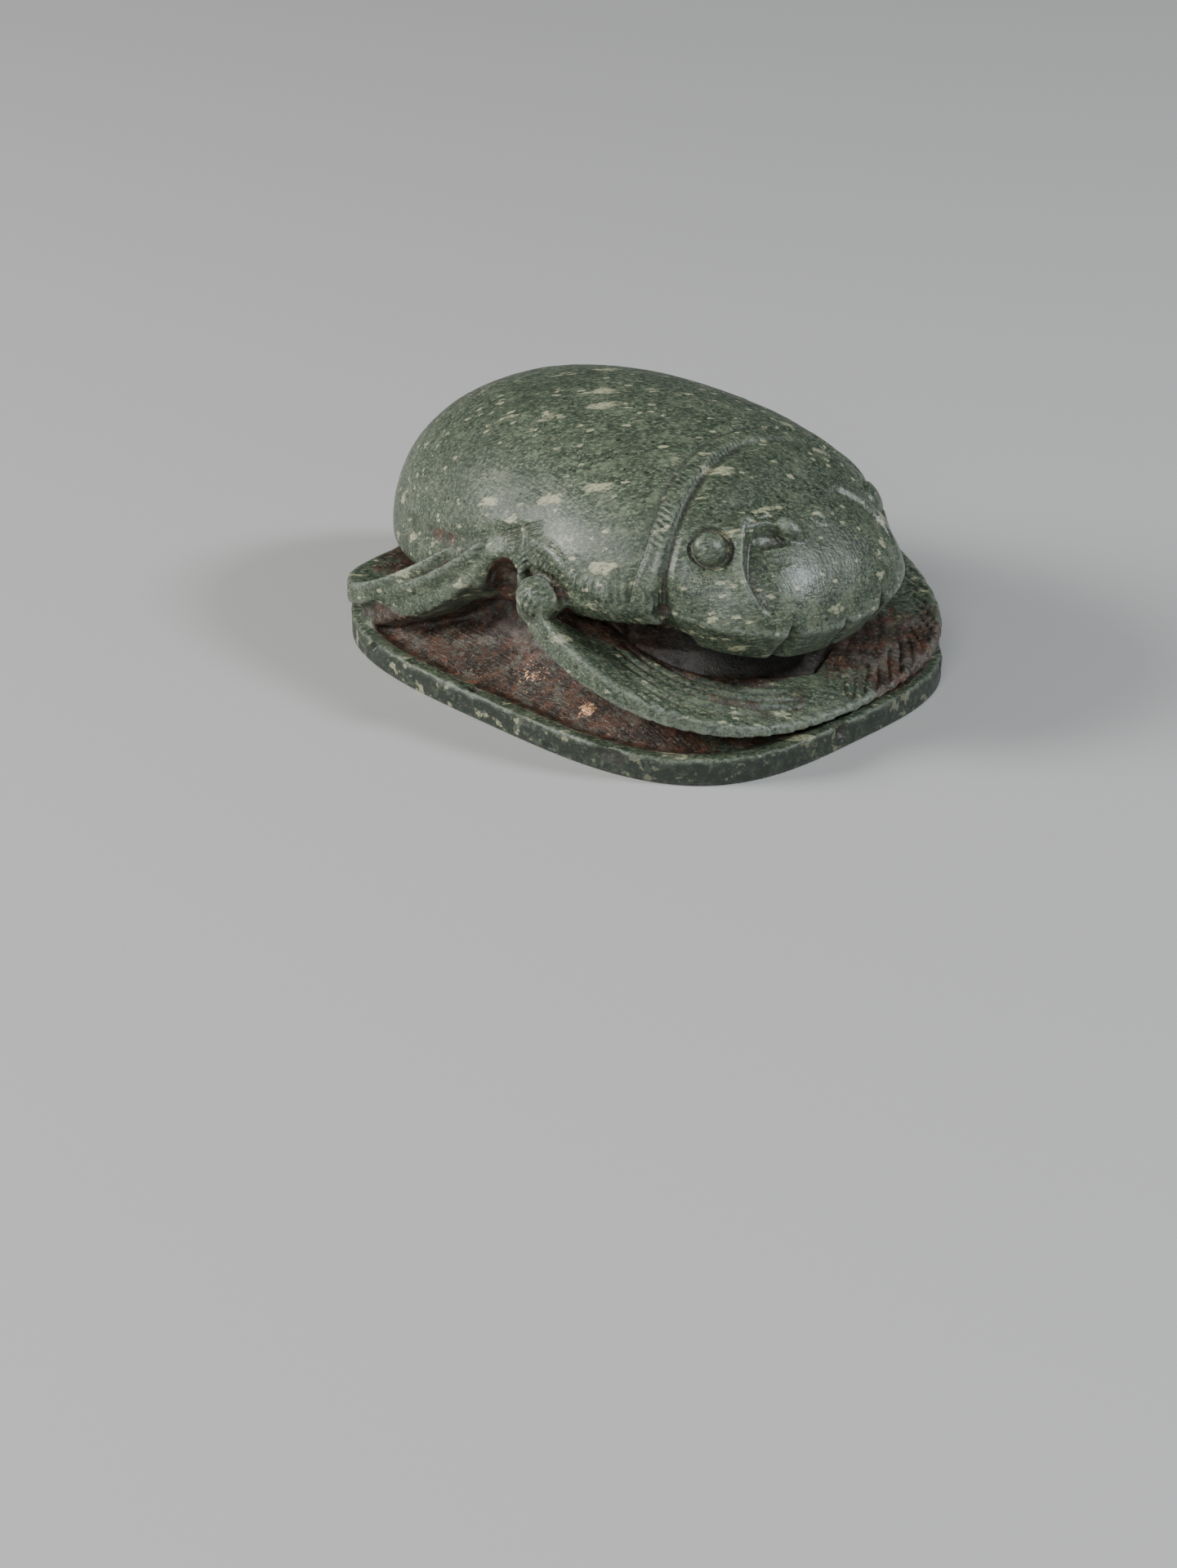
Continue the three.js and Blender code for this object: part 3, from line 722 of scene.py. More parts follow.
def faced(surface):
    """The head with its face carved in low relief."""
    face = head(surface)
    surface = np.where(HEIGHT > FACE_LOW, surface, FAR_AWAY)
    pit = np.hypot(from_axis(*LID_PIT), surface) - LID_PIT_RADIUS
    face = cut(face, pit, CRISP / 2)
    face = smooth_min(face, button(from_axis(*LID), surface, LID_RADIUS, LID_HEIGHT), CRISP)
    # Inside its ridge the front of the face lies lower than the cheeks.
    x = X - HEAD_BASE
    away, share = polyline_distance(FACE_RIDGE, x, SIDE)
    ridge_places, ridge_asides = zip(*FACE_RIDGE)
    within = (x > ridge_places[0]) & (SIDE < np.interp(x, ridge_places, ridge_asides))
    inside = np.where(within, away, -away)
    width = np.where(inside > -RIDGE_OFFSET, RIDGE_WIDTH_IN, RIDGE_WIDTH_OUT)
    rise = RIDGE_RISE * np.exp(-((inside + RIDGE_OFFSET) / width) ** 2) * ramp(1 - share, 0.0, 0.35)
    hollow = ramp(inside, -0.1, 0.4) * np.exp(-np.maximum(inside, 0) / HOLLOW_LENGTH)
    relief = RIDGE_HOLLOW * hollow * (1 - ramp(share, 0.45, 1.1)) - rise
    relief = relief * np.where(Y > 0, FAR_RELIEF, 1.0)
    face = face + relief * ramp(HEIGHT, HEAD_EDGE_HIGH + 0.8, HEAD_EDGE_HIGH + 2.2)
    brow_away, brow_share = polyline_distance(BROW_BRANCH, x, -Y)
    brow = np.hypot(brow_away, surface + 0.05) - BROW_RADIUS * (1 - 0.4 * brow_share)
    face = smooth_min(face, brow, SOFT)
    pit_away, _ = polyline_distance(BROW_HOLLOW, x, -Y)
    face = cut(face, np.hypot(pit_away, surface) - BROW_HOLLOW_RADIUS, CRISP / 2)
    for ahead, y, length, width, height in BOSSES:
        along = (x - ahead) * math.cos(BOSS_TURN) + (Y - y) * math.sin(BOSS_TURN)
        aside = (Y - y) * math.cos(BOSS_TURN) - (x - ahead) * math.sin(BOSS_TURN)
        reach = np.hypot(along / length, aside / width)
        face = smooth_min(face, (np.hypot(reach, surface / height) - 1) * height, CRISP / 2)
    return face


def eyed(carving, surface):
    """Adds the eyes, each in a ring-shaped groove."""
    surface = np.where(HEIGHT > FACE_LOW, surface, FAR_AWAY)
    for eye, height in ((EYE, EYE_HEIGHT), (FAR_EYE, FAR_EYE_HEIGHT)):
        reach = from_axis(*eye)
        ring = np.hypot(reach - EYE_RADIUS - EYE_RING_WIDTH / 2, surface) - EYE_RING_WIDTH * 0.6
        carving = cut(carving, ring, CRISP / 2)
        carving = smooth_min(carving, button(reach, surface, EYE_RADIUS, height), CRISP / 2)
    return carving


def carve():
    back = dome(*BACK_FORM)
    ahead = ahead_of_neck(X, Y)
    # Near the neck the head runs just under the shield.
    surface = mix(back + NECK_STEP, dome(*HEAD_FORM), ramp(ahead, *NECK_REACH))
    carving = smooth_min(shield_and_wings(back), faced(surface), CRISP)
    bead = np.hypot(ahead + BEAD_BEHIND, back + BEAD_RADIUS / 2) - BEAD_RADIUS
    breaks = np.sin(BEAD_BREAKS[0] * Y) + 0.6 * np.sin(BEAD_BREAKS[1] * Y)
    bead = bead + BEAD_BREAK_DEPTH * ramp(breaks, 0, 1.2)
    above = ramp(HEIGHT, BEAD_LOW, BEAD_LOW + 2)
    # On the far side the bead sinks into the band and the groove gets shallower.
    far_side = ramp(Y, *NECK_FADE)
    carving = smooth_min(carving, bead + FAR_AWAY * (1 - above) + BEAD_RADIUS * far_side, CRISP)
    groove = np.hypot(ahead - GROOVE_AHEAD, surface - GROOVE_LIFT) - GROOVE_RADIUS
    groove = groove + FAR_GROOVE_LOSS * far_side
    crease = np.hypot(ahead + BAND_WIDTH, back) - BAND_CREASE_RADIUS
    carving = cut(cut(carving, groove, CRISP), crease, CRISP)
    carving = eyed(carving, surface)

    body = smooth_min(trunk(), plinth(), BROAD)
    legs = smooth_min(front_legs(), mid_legs(), CRISP)
    carving = smooth_min(carving, smooth_min(body, legs, SOFT), CRISP)
    peak = ellipsoid(RECESS_PEAK, RECESS_PEAK_SIZE)
    recess = smooth_min(peak, ellipsoid(RECESS_FOOT, RECESS_FOOT_SIZE), SOFT)
    bank_insets = (GUTTER_INSET, BANK_INSET, BANK_TOP_INSET)
    bank = HEIGHT - np.interp(INSET, bank_insets, (0, BANK_RISE, BANK_TOP_RISE))
    carving = cut(carving, smooth_max(recess, RECESS_CLEARANCE - bank, SOFT), SOFT)
    carving = smooth_min(carving, ellipsoid(SHOULDER, SHOULDER_SIZE), CRISP)
    carving = cut(carving, ellipsoid(CORNER_PIT, CORNER_PIT_SIZE), CRISP)
    crease_away, _ = polyline_distance(SHOULDER_CREASE, X, Z)
    crease = np.hypot(crease_away, back - 0.2) - SHOULDER_CREASE_RADIUS
    carving = cut(carving, crease, CRISP)
    carving = smooth_min(carving, hind_legs(), CRISP)
    return np.maximum(carving, -Z).astype(np.float32)


def sample(values, points):
    """Values of a grid at points, by straight interpolation between its corners."""
    place = np.stack([(points[:, i] - axes[i][0]) / GRID_STEP for i in range(3)], axis=1)
    place = np.clip(place, 0, np.array(values.shape) - 1.001)
    cell = place.astype(int)
    share = place - cell
    total = np.zeros(len(points))
    for corner in np.ndindex(2, 2, 2):
        weight = np.prod(np.where(corner, share, 1 - share), axis=1)
        total += weight * values[tuple((cell + corner).T)]
    return total


def slope_at(values, points):
    reach = GRID_STEP * 0.75
    slopes = []
    for axis in range(3):
        step = np.zeros(3)
        step[axis] = reach
        slopes.append((sample(values, points + step) - sample(values, points - step)) / (2 * reach))
    return np.stack(slopes, axis=1)


def surface_of(values):
    """Corners and four-sided faces of a grid's zero surface."""
    inside = values < 0
    wide, deep, tall = (size - 1 for size in inside.shape)
    count = sum(
        inside[i:wide + i, j:deep + j, k:tall + k].astype(np.int8)
        for i, j, k in np.ndindex(2, 2, 2)
    )
    active = (count > 0) & (count < 8)
    cells = np.argwhere(active)
    index = np.full(active.shape, -1)
    index[active] = np.arange(len(cells))
    total = np.zeros((len(cells), 3))
    hits = np.zeros(len(cells))
    faces = []
    for axis in range(3):
        unit = np.eye(3, dtype=int)[axis]
        others = [i for i in range(3) if i != axis]
        for a, b in np.ndindex(2, 2):
            offset = np.zeros(3, dtype=int)
            offset[others[0]], offset[others[1]] = a, b
            start = cells + offset
            low = values[tuple(start.T)]
            high = values[tuple((start + unit).T)]
            crossed = (low < 0) != (high < 0)
            point = start.astype(float)
            point[:, axis] += np.where(crossed, low / np.where(crossed, low - high, 1), 0)
            total[crossed] += point[crossed]
            hits += crossed
        lower = inside.take(range(0, inside.shape[axis] - 1), axis)
        upper = inside.take(range(1, inside.shape[axis]), axis)
        edges = np.argwhere(lower != upper)
        first, second = np.eye(3, dtype=int)[others]
        around = [edges - first - second, edges - second, edges, edges - first]
        quads = np.stack([index[tuple(corner.T)] for corner in around], axis=1)
        outward = lower[tuple(edges.T)] == (axis != 1)
        quads[~outward] = quads[~outward][:, ::-1]
        faces.append(quads)
    corners = total / hits[:, None] * GRID_STEP + [axis[0] for axis in axes]
    return corners, np.concatenate(faces)


def blurred(values, radius):
    """Averages a grid over a soft ball, by three box averages along each axis."""
    reach = max(int(round(radius / GRID_STEP)), 1)
    width = 2 * reach + 1
    for axis in range(3):
        for _ in range(3):
            pad = [(reach + 1, reach) if i == axis else (0, 0) for i in range(3)]
            total = np.cumsum(np.pad(values, pad), axis=axis, dtype=np.float64)
            size = total.shape[axis]
            high = total.take(range(width, size), axis)
            low = total.take(range(0, size - width), axis)
            values = ((high - low) / width).astype(np.float32)
    return values


def hatching(points):
    """Where the shield's front band and lower margin are hatched, and the distance along them."""
    z = points[:, 2]
    ahead = ahead_of_neck(points[:, 0], points[:, 1])
    on_band = ramp(ahead, -BAND_WIDTH - 0.1, -BAND_WIDTH + 0.3) * fade(ahead, 0.1, 0.5) * ramp(z, 15.5, 17.5)
    on_band = on_band * mix(BAND_HATCH, FAR_BAND_HATCH, ramp(points[:, 1], -3.0, 3.0))
    away, share = polyline_distance(LOBE_OUTLINE, points[:, 0], z)
    on_lobe = ramp(away, 0.1, 0.5) * fade(away, 2.0, 3.0) * ramp(np.abs(points[:, 1]), 14.5, 16.0)
    on_lobe = on_lobe * ramp(z, 12.0, 14.0)
    run = np.where(on_band > 0.01, points[:, 1] * 1.15, share * LOBE_OUTLINE_LENGTH)
    return np.maximum(on_band, on_lobe), run


def roughened(points, normals, field_hollow):
    """Moves the surface in and out by wear, small chips and tool marks."""
    hatched, run = hatching(points)
    lines = np.sin(run * 2 * math.pi / HATCH_SPACING + 3.0 * noise(points, 1.5, 18))
    inset = plinth_radius(np.arctan2(points[:, 1], points[:, 0])) - np.hypot(points[:, 0], points[:, 1])
    low = fade(points[:, 2], RIM, RIM + 1.5)
    edge = fade(np.abs(inset), 0.6, 2.0)
    wear = layered(points, WEAR)
    side = layered(points, BROKEN_SIDE)
    chips = -CHIP_DEPTH * ramp(noise(points, CHIP_SIZE, 15), *CHIP_SHARE)
    crust = layered(points, CRUST_LUMPS)
    above = ramp(points[:, 2], 0.15, 0.8)
    mouth = np.array((
        points[:, 0] - RECESS_PEAK[0],
        np.abs(points[:, 1]) - MOUTH_SIDE,
        points[:, 2] - RIM - RECESS_PEAK[2],
    ))
    mouth = np.exp(-(mouth ** 2).sum(axis=0) / MOUTH_REACH ** 2)
    crust = crust * ramp(field_hollow, 0.08, 0.22) + layered(points, CRUMBLED) * mouth
    move = wear + low * edge * (side + chips) + crust + HATCH_DEPTH * lines * hatched
    return points + normals * (move * above)[:, None]


def mesh_object(name, corners, faces):
    mesh = bpy.data.meshes.new(name)
    mesh.vertices.add(len(corners))
    mesh.vertices.foreach_set("co", np.ascontiguousarray(corners, dtype=np.float32).ravel())
    mesh.loops.add(faces.size)
    mesh.loops.foreach_set("vertex_index", faces.astype(np.int32).ravel())
    mesh.polygons.add(len(faces))
    mesh.polygons.foreach_set("loop_start", np.arange(0, faces.size, faces.shape[1], dtype=np.int32))
    mesh.update(calc_edges=True)
    mesh.validate()
    made = bpy.data.objects.new(name, mesh)
    bpy.context.scene.collection.objects.link(made)
    return made


def baked(made):
    """Applies an object's modifiers."""
    graph = bpy.context.evaluated_depsgraph_get()
    final = bpy.data.meshes.new_from_object(made.evaluated_get(graph))
    old = made.data
    made.modifiers.clear()
    made.data = final
    bpy.data.meshes.remove(old)
    return made


field = carve()
stone_share = np.clip(0.5 - field / GRID_STEP, 0, 1).astype(np.float32)
near_share = blurred(stone_share, NEAR)
wide_share = blurred(stone_share, WIDE)
broad_share = blurred(stone_share, VERY_WIDE)

corners, faces = surface_of(field)
for _ in range(2):
    slopes = slope_at(field, corners)
    steepness = np.maximum((slopes ** 2).sum(axis=1), 0.05)
    corners = corners - slopes * (sample(field, corners) / steepness)[:, None]
normals = slope_at(field, corners)
normals /= np.maximum(np.linalg.norm(normals, axis=1), 1e-6)[:, None]
corners = roughened(corners, normals, sample(wide_share, corners) - 0.5)
corners[:, 2] = np.maximum(corners[:, 2], 0)

carving = mesh_object("carving", corners, faces)
triangles = 2 * len(faces)
if triangles > MOST_TRIANGLES:
    thin = carving.modifiers.new("thin", "DECIMATE")
    thin.ratio = MOST_TRIANGLES / triangles
    baked(carving)
points = np.empty(3 * len(carving.data.vertices))
carving.data.vertices.foreach_get("co", points)
points = points.reshape(-1, 3)


def attribute(name, values):
    layer = carving.data.attributes.new(name, "FLOAT", "POINT")
    layer.data.foreach_set("value", np.ascontiguousarray(values, dtype=np.float32))


def near_places(spots):
    """How close each corner of the mesh is to a set of spots, each with its reach."""
    return sum(np.exp(-(((points - spot) / reach) ** 2).sum(axis=1)) for spot, reach in spots)


way = slope_at(field, points)
way /= np.maximum(np.linalg.norm(way, axis=1), 1e-6)[:, None]
plan_side = np.abs(points[:, 1])
plan_angle = np.arctan2(plan_side, points[:, 0])
inset = plinth_radius(plan_angle) - np.hypot(points[:, 0], points[:, 1])
turn = np.degrees(plan_angle)
z = points[:, 2]
hollow = sample(wide_share, points) - 0.5
deep = sample(broad_share, points) - 0.5
crevice = sample(near_share, points) - 0.5
head_share = np.maximum(points[:, 0] - HEAD_BASE, 0) / HEAD_REACH
head_side = plan_side / HEAD_HALF_WIDTH
head_oval = (head_share ** HEAD_SQUARENESS + head_side ** HEAD_SQUARENESS) ** (1 / HEAD_SQUARENESS)
head_rim = HEAD_EDGE_HIGH + HEAD_EDGE_LIFT * head_side ** 2
# Painted highlight: a light line along the head's lower edge, added to the worn edges.
painted_head_highlight = fade(np.abs(z - RIM - head_rim), 0.1, 0.5)
painted_head_highlight = painted_head_highlight * ramp(head_oval, 0.93, 0.97) * fade(head_oval, 1.06, 1.1)
edge = -crevice * mix(0.6, 1.0, ramp(z, RIM + 0.5, RIM + 2.0))
attribute("edge", np.maximum(edge, HEAD_LINE_HIGHLIGHT * painted_head_highlight))

# Residue lies on the plinth's top inside its rim, under the head, in deep recesses and on the shelf.
below = fade(z, RIM + 2.2, RIM + 4.5)
on_plinth = ramp(inset, 1.0, 1.9) * below * ramp(turn, FRONT_END * 0.3, FRONT_END * 0.45)
channel = ramp(deep, 0.02, 0.14) * fade(z, 9.5, 17.5)
recess = ramp(hollow, 0.06, 0.18) * fade(z, 13.5, 18.5)
shelf = SHELF_DIRT * ramp(turn, 138, 150) * ramp(way[:, 2], 0.6, 0.9)
shelf = shelf * fade(z, 7.5, 10.0) * ramp(inset, 1.2, 3.0)
far_plate = FAR_PLATE_DIRT * fade(turn, 30, 50) * ramp(points[:, 1], -5, 9) * fade(z, 6.0, 9.0)
far_plate = far_plate * np.maximum(ramp(inset, 0.5, 1.4), ramp(z, RIM + 0.6, RIM + 1.0))
dirt = np.maximum.reduce([on_plinth, channel, recess, shelf, far_plate])
side = fade(np.abs(inset), 0.5, 1.2) * fade(z, RIM - 0.7, RIM)
plate = PLATE_DIRT * fade(turn, 50, 70) * ramp(inset, 0.5, 3.0) * fade(z, 6.5, 10.0)
channel_away, _ = polyline_distance(WING_CHANNEL, points[:, 0], z)
channel = CHANNEL_DIRT * fade(channel_away, 0.3, 1.3) * ramp(plan_side, 12, 14)
channel = channel * ramp(points[:, 0], -16, -14) * fade(points[:, 0], -11, -8)
pocket = np.hypot((points[:, 0] - RECESS_PEAK[0]) / 4.2, (z - RIM - RECESS_PEAK[2]) / 6.5)
pocket = fade(pocket, 0.75, 1.0) * fade(plan_side, 18.6, 19.6) * ramp(plan_side, 10, 12)
attribute("dirt", np.maximum.reduce([dirt, plate, channel, pocket]))
polish = near_places(POLISHED)
on_the_head = ramp(ahead_of_neck(points[:, 0], points[:, 1]), 0, 1.5) * ramp(z, 14.0, 15.5)
polish = np.maximum(polish, HEAD_POLISH * on_the_head)
attribute("polish", np.clip(polish, 0, 1))
# Painted shade: undersides, hollows, creases and deep places get a darker colour.
attribute("shade", np.maximum.reduce([
    UNDERSIDE_SHADE * ramp(-way[:, 2], 0.62, 0.9) * ramp(z, 4.0, 6.0),
    HOLLOW_SHADE * ramp(hollow, 0.03, 0.15),
    CREASE_SHADE * ramp(crevice, 0.03, 0.12),
    DEEP_SHADE * ramp(deep, 0.10, 0.22) * fade(z, 12.0, 15.0),
]))
attribute("side", side)
# Painted shadow darkens the deep places between the head and the plate, and where the trunk meets the legs.
under_head = ramp(points[:, 0], 10.0, 15.0) * fade(z, 11.0, 13.0)
attribute("painted_shadow", ramp(deep, 0.08, 0.20) * mix(0.35, 1.0, under_head) * fade(z, 12.0, 15.0))
# Painted shade on the plinth's broken side, growing towards the front.
attribute("front", side * fade(turn, 50, 75))
attribute("glint", np.clip(near_places(GLINTS), 0, 1))

hatched, run = hatching(points)
attribute("hatch", hatched)
attribute("hatch_run", run)

placed = (points + np.array((shift, 0, 0))) * MM
carving.data.vertices.foreach_set("co", placed.astype(np.float32).ravel())
carving.data.polygons.foreach_set("use_smooth", np.ones(len(carving.data.polygons), dtype=bool))
carving.data.update()

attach(carving, "root")
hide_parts("scarab")


def material(name):
    made = bpy.data.materials.new(name)
    made.use_nodes = True
    made.node_tree.nodes.clear()
    return made


stone = material("speckled green stone")
nodes = stone.node_tree.nodes
links = stone.node_tree.links


def make(kind, settings=None, **inputs):
    """Adds a node, sets its options, and gives each named input a value or another node's socket."""
    made = nodes.new(kind)
    for name, value in (settings or {}).items():
        setattr(made, name, value)
    for name, value in inputs.items():
        label = name.replace("_", " ")
        numbered = label[:1] == "n" and label[1:].isdigit()
        socket = made.inputs[int(label[1:]) if numbered else label]
        if isinstance(value, bpy.types.NodeSocket):
            links.new(value, socket)
        else:
            socket.default_value = value
    return made


def calc(operation, first, second=0.5, clamp=False):
    made = make("ShaderNodeMath", {"operation": operation, "use_clamp": clamp}, n0=first, n1=second)
    return made.outputs[0]


def between(value, low, high, to_low=0.0, to_high=1.0):
    """Smooth step of a socket's value."""
    made = make("ShaderNodeMapRange", {"interpolation_type": "SMOOTHSTEP"})
    links.new(value, made.inputs["Value"])
    made.inputs["From Min"].default_value = low
    made.inputs["From Max"].default_value = high
    made.inputs["To Min"].default_value = to_low
    made.inputs["To Max"].default_value = to_high
    return made.outputs["Result"]


def blend(share, first, second):
    made = make("ShaderNodeMix", {"data_type": "RGBA"})
    for key, value in (("Factor", share), (6, first), (7, second)):
        socket = made.inputs[key]
        if isinstance(value, bpy.types.NodeSocket):
            links.new(value, socket)
        elif isinstance(value, tuple):
            socket.default_value = (*value, 1)
        else:
            socket.default_value = value
    return made.outputs[2]


def grain(size, detail=4.0, roughness=0.6, stretch=(1, 1, 1), turn=(0, 0, 0)):
    """Noise whose features have a size in millimetres, stretched along the carving's axes."""
    place = make("ShaderNodeTexCoord").outputs["Object"]
    turned = make("ShaderNodeMapping", Vector=place, Rotation=turn)
    scaled = make("ShaderNodeMapping", Vector=turned.outputs[0],
                  Scale=tuple(1 / (MM * size * part) for part in stretch))
    made = make("ShaderNodeTexNoise", Vector=scaled.outputs[0], Scale=1.0, Detail=detail,
                Roughness=roughness)
    return made.outputs["Fac"]


def dashes(size, share, stretch, turn, ragged=0.25, fullness=0.42):
    """Crystals of a size in millimetres: a share of stretched cells, each with a ragged edge."""
    place = make("ShaderNodeTexCoord").outputs["Object"]
    turned = make("ShaderNodeMapping", Vector=place, Rotation=turn)
    scaled = make("ShaderNodeMapping", Vector=turned.outputs[0],
                  Scale=tuple(1 / (MM * size * part) for part in stretch))
    ripple = make("ShaderNodeTexNoise", Vector=scaled.outputs[0], Scale=3.0, Detail=2.0)
    ripple = make("ShaderNodeVectorMath", {"operation": "SUBTRACT"}, n0=ripple.outputs["Color"],
                  n1=(0.5, 0.5, 0.5))
    ripple = make("ShaderNodeVectorMath", {"operation": "SCALE"}, n0=ripple.outputs[0], Scale=2 * ragged)
    moved = make("ShaderNodeVectorMath", {"operation": "ADD"}, n0=scaled.outputs[0], n1=ripple.outputs[0])
    cell = make("ShaderNodeTexVoronoi", Vector=moved.outputs[0], Scale=1.0)
    pick = make("ShaderNodeSeparateColor", Color=cell.outputs["Color"]).outputs[0]
    chosen = between(pick, 1 - share - 0.01, 1 - share + 0.01)
    return calc("MULTIPLY", chosen, between(cell.outputs["Distance"], fullness + 0.08, fullness - 0.08))


def read(name):
    return make("ShaderNodeAttribute", {"attribute_name": name}).outputs["Fac"]


DARK_GREEN = (0.026, 0.040, 0.024)
MID_GREEN = (0.088, 0.118, 0.078)
PALE_GREEN = (0.240, 0.275, 0.180)
FLECK = (0.44, 0.44, 0.285)
# Black of the specks in the stone, also used for the painted shadow in deep places.
SPECK_AND_SHADOW = (0.008, 0.011, 0.008)
# Colour of worn stone, also used for the painted highlight on the head's edge.
WORN_AND_HIGHLIGHT = (0.235, 0.270, 0.220)
RESIDUE = (0.030, 0.020, 0.014)
RUST = (0.125, 0.058, 0.036)
ASH = (0.130, 0.120, 0.095)
GLINT = (0.95, 0.56, 0.34)
# Dark colour of the rough broken side, also used for the painted shade on the plinth's front.
ROUGH_DARK_AND_SHADE = (0.022, 0.030, 0.022)
# Colour of the painted shade.
PAINTED_SHADE_GREEN = (0.034, 0.032, 0.022)
BEDDING = (0.15, 0.30, -0.70)
CROSS_BEDDING = (0.30, 0.10, -0.35)

cloud = grain(7.0, 3.0, 0.5)
fine = grain(0.42, 5.0, 0.75, stretch=(1.5, 1.0, 1.0), turn=BEDDING)
medium = grain(1.6, 4.0, 0.65, stretch=(1.4, 1.0, 1.0), turn=BEDDING)
body = blend(between(fine, 0.38, 0.62), DARK_GREEN, MID_GREEN)
body = blend(calc("MULTIPLY", between(medium, 0.46, 0.70), 0.45), body, PALE_GREEN)
needle = grain(0.30, 3.0, 0.65, stretch=(1.9, 1.0, 0.8), turn=BEDDING)
body = blend(calc("MULTIPLY", between(needle, 0.52, 0.61), 0.72), body, PALE_GREEN)
dark_needle = grain(0.30, 3.0, 0.65, stretch=(1.6, 1.0, 1.0), turn=CROSS_BEDDING)
body = blend(calc("MULTIPLY", between(dark_needle, 0.55, 0.62), 0.65), body, DARK_GREEN)
body = blend(calc("MULTIPLY", between(cloud, 0.35, 0.70), 0.35), body, DARK_GREEN)
broken_up = between(needle, 0.36, 0.52, 0.25, 0.9)
body = blend(calc("MULTIPLY", dashes(0.62, 0.07, (2.0, 1.0, 0.8), BEDDING, 0.4), broken_up), body, FLECK)
fleck = calc("MULTIPLY", dashes(2.2, 0.09, (2.6, 1.0, 0.7), BEDDING, 0.45, 0.36), broken_up)
body = blend(fleck, body, FLECK)
small_fleck = grain(0.60, 2.0, 0.55, stretch=(1.7, 1.0, 1.0), turn=CROSS_BEDDING)
body = blend(calc("MULTIPLY", dashes(0.50, 0.03, (1.2, 1.0, 1.0), CROSS_BEDDING), 0.8), body, SPECK_AND_SHADOW)

# The broken side of the plinth is darker and coarser than the worked surfaces.
side = read("side")
coarse = grain(0.9, 3.0, 0.6)
broken = blend(between(coarse, 0.50, 0.58), ROUGH_DARK_AND_SHADE, body)
body = blend(calc("MULTIPLY", side, 0.9), body, broken)
body = blend(calc("MULTIPLY", side, 0.4), body, ROUGH_DARK_AND_SHADE)
blotch = calc("MULTIPLY", side, between(grain(1.6, 3.0, 0.6), 0.58, 0.66))
body = blend(calc("MULTIPLY", blotch, 0.7), body, FLECK)
# Painted shade: the plinth's broken side is darkened more towards the front.
body = blend(calc("MULTIPLY", read("front"), 0.5), body, ROUGH_DARK_AND_SHADE)
# Painted shade darkens the colour of undersides, hollows, creases and deep places.
body = blend(read("shade"), body, PAINTED_SHADE_GREEN)

# Worn edges are lighter, and the head's lower edge also carries a painted highlight.
wear_and_highlight = between(read("edge"), 0.055, 0.20)
scuff_and_highlight = calc("MULTIPLY", wear_and_highlight, between(fine, 0.38, 0.60, 0.15, 0.95))
body = blend(calc("MULTIPLY", scuff_and_highlight, 0.62), body, WORN_AND_HIGHLIGHT)

patch = calc("MULTIPLY", calc("SUBTRACT", grain(2.4, 5.0, 0.65), 0.5), 1.5)
cover = between(calc("ADD", read("dirt"), patch), 0.25, 0.62)
residue = calc("MULTIPLY", cover, between(small_fleck, 0.62, 0.72, 1.0, 0.55), clamp=True)
crust = blend(between(grain(1.5, 5.0, 0.7), 0.42, 0.68), RESIDUE, RUST)
crust = blend(calc("MULTIPLY", between(grain(2.6, 5.0, 0.65), 0.50, 0.64), 0.7), crust, ASH)
crust = blend(calc("MULTIPLY", between(grain(0.45, 3.0, 0.6), 0.56, 0.66), 0.35), crust, WORN_AND_HIGHLIGHT)
glint_area = between(grain(5.0, 2.0, 0.5), 0.56, 0.65)
scatter = calc("MULTIPLY", between(grain(0.30, 2.0, 0.5), 0.62, 0.70), glint_area)
torn = calc("MULTIPLY", calc("SUBTRACT", grain(0.5, 4.0, 0.6), 0.5), 2.0)
cluster = between(calc("ADD", read("glint"), torn), 0.45, 0.60)
sparkle = calc("MAXIMUM", scatter, cluster)
metal = calc("MULTIPLY", sparkle, residue, clamp=True)
colour = blend(residue, body, blend(sparkle, crust, GLINT))
# Painted shadow: deep places, most of all under the head, are darkened towards black.
colour = blend(calc("MULTIPLY", read("painted_shadow"), 0.75), colour, SPECK_AND_SHADOW)

scratch = grain(0.30, 2.0, 0.6, stretch=(18.0, 1.0, 2.0), turn=(0.0, 0.05, 0.12))
cross_scratch = grain(0.26, 2.0, 0.6, stretch=(1.2, 14.0, 1.4), turn=(0.1, 0.0, 0.6))
height = calc("MULTIPLY", scratch, 0.9)
height = calc("ADD", height, calc("MULTIPLY", cross_scratch, 0.6))
height = calc("ADD", height, calc("MULTIPLY", fine, 0.35))
height = calc("ADD", height, calc("MULTIPLY", calc("MULTIPLY", grain(0.5, 4.0, 0.7), residue), 2.0))
height = calc("ADD", height, calc("MULTIPLY", calc("MULTIPLY", coarse, side), 3.0))
wobble = calc("MULTIPLY", grain(1.0, 2.0, 0.5), 2.4)
line = calc("SINE", calc("ADD", calc("MULTIPLY", read("hatch_run"), 2 * math.pi / HATCH_SPACING), wobble))
height = calc("ADD", height, calc("MULTIPLY", calc("MULTIPLY", line, read("hatch")), 0.8))
bump = make("ShaderNodeBump", Strength=0.65, Distance=0.12 * MM, Height=height)
gloss = blend(read("polish"), (0.50, 0.50, 0.50), (0.25, 0.25, 0.25))
gloss = blend(residue, gloss, (0.45, 0.45, 0.45))
rough = calc("ADD", gloss, calc("MULTIPLY", calc("SUBTRACT", fine, 0.5), 0.25), clamp=True)

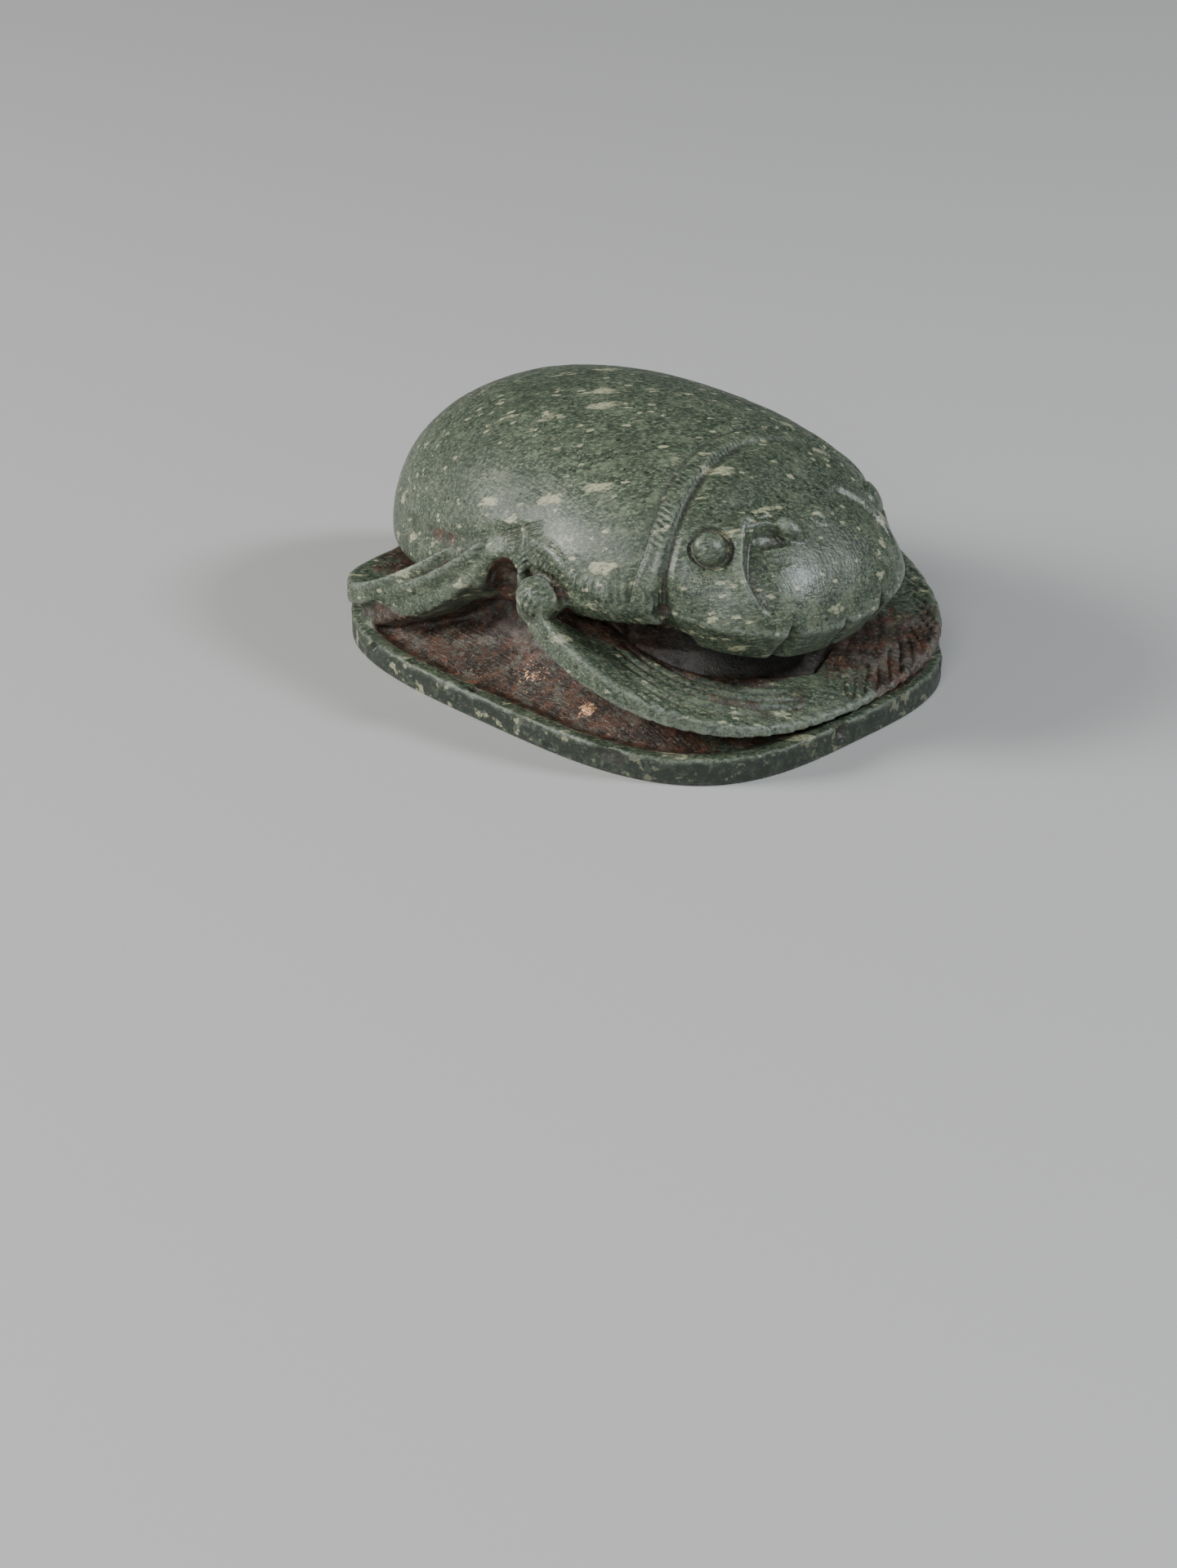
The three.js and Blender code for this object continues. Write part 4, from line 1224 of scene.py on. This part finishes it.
skin = make("ShaderNodeBsdfPrincipled", Base_Color=colour, Metallic=metal, Roughness=rough,
            Normal=bump.outputs[0], Coat_Weight=0.12, Coat_Roughness=0.3)
out = make("ShaderNodeOutputMaterial", Surface=skin.outputs[0])
carving.data.materials.clear()
carving.data.materials.append(stone)

# Floor.
floor_mesh = bpy.data.meshes.new("floor")
REACH = 2.0
floor_corners = [(-REACH, -REACH, 0), (REACH, -REACH, 0), (REACH, REACH, 0), (-REACH, REACH, 0)]
floor_mesh.from_pydata(floor_corners, [], [(0, 1, 2, 3)])
floor = bpy.data.objects.new("floor", floor_mesh)
bpy.context.scene.collection.objects.link(floor)
pale = bpy.data.materials.new("pale floor")
pale.use_nodes = True
pale_skin = pale.node_tree.nodes["Principled BSDF"]
pale_skin.inputs["Base Color"].default_value = (0.54, 0.54, 0.53, 1)
pale_skin.inputs["Roughness"].default_value = 0.8
floor.data.materials.append(pale)


LAMP_DISTANCE = 0.7
LAMP_AIM_HEIGHT = 12 * MM


def softbox(name, direction, size, power, colour):
    """Square area light that faces the carving from a direction."""
    lamp = bpy.data.lights.new(name, "AREA")
    lamp.size = size
    lamp.energy = power
    lamp.color = colour
    made = bpy.data.objects.new(name, lamp)
    aim = Vector(direction).normalized()
    made.location = aim * LAMP_DISTANCE + Vector((0, 0, LAMP_AIM_HEIGHT))
    made.rotation_euler = aim.to_track_quat("Z", "Y").to_euler()
    bpy.context.scene.collection.objects.link(made)


softbox("left softbox", (-0.60, -0.72, 0.50), 0.24, 4.8, (1.0, 0.985, 0.96))
softbox("back softbox", (0.66, 0.42, 0.64), 0.12, 2.7, (0.90, 0.95, 1.0))
softbox("front softbox", (0.50, -0.76, 0.62), 0.28, 1.9, (1.0, 1.0, 1.0))

world = bpy.data.worlds.new("studio")
bpy.context.scene.world = world
world.use_nodes = True
sky = world.node_tree.nodes["Background"]
sky.inputs["Color"].default_value = (0.9, 0.93, 1.0, 1)
sky.inputs["Strength"].default_value = 0.115

# Camera, as fitted to the photograph: it looks along one direction from one point.
AZIMUTH = math.radians(44.82)
ELEVATION = math.radians(27.55)
CAMERA_PLACE = (283.75, -294.29, 197.38)
FOCAL_LENGTH = 97.6
SENSOR = 36.0
back_way = Vector((
    math.sin(AZIMUTH) * math.cos(ELEVATION),
    -math.cos(AZIMUTH) * math.cos(ELEVATION),
    math.sin(ELEVATION),
))
right_way = Vector((math.cos(AZIMUTH), math.sin(AZIMUTH), 0))
up_way = back_way.cross(right_way)
lens = bpy.data.cameras.new("camera")
lens.lens = FOCAL_LENGTH
lens.sensor_width = SENSOR
lens.clip_start = 0.01
camera = bpy.data.objects.new("camera", lens)
place = (Vector(CAMERA_PLACE) + Vector((shift, 0, 0))) * MM
turned = Matrix((right_way, up_way, back_way)).transposed().to_4x4()
camera.matrix_world = Matrix.Translation(place) @ turned
bpy.context.scene.collection.objects.link(camera)
bpy.context.scene.camera = camera

bpy.context.view_layer.update()
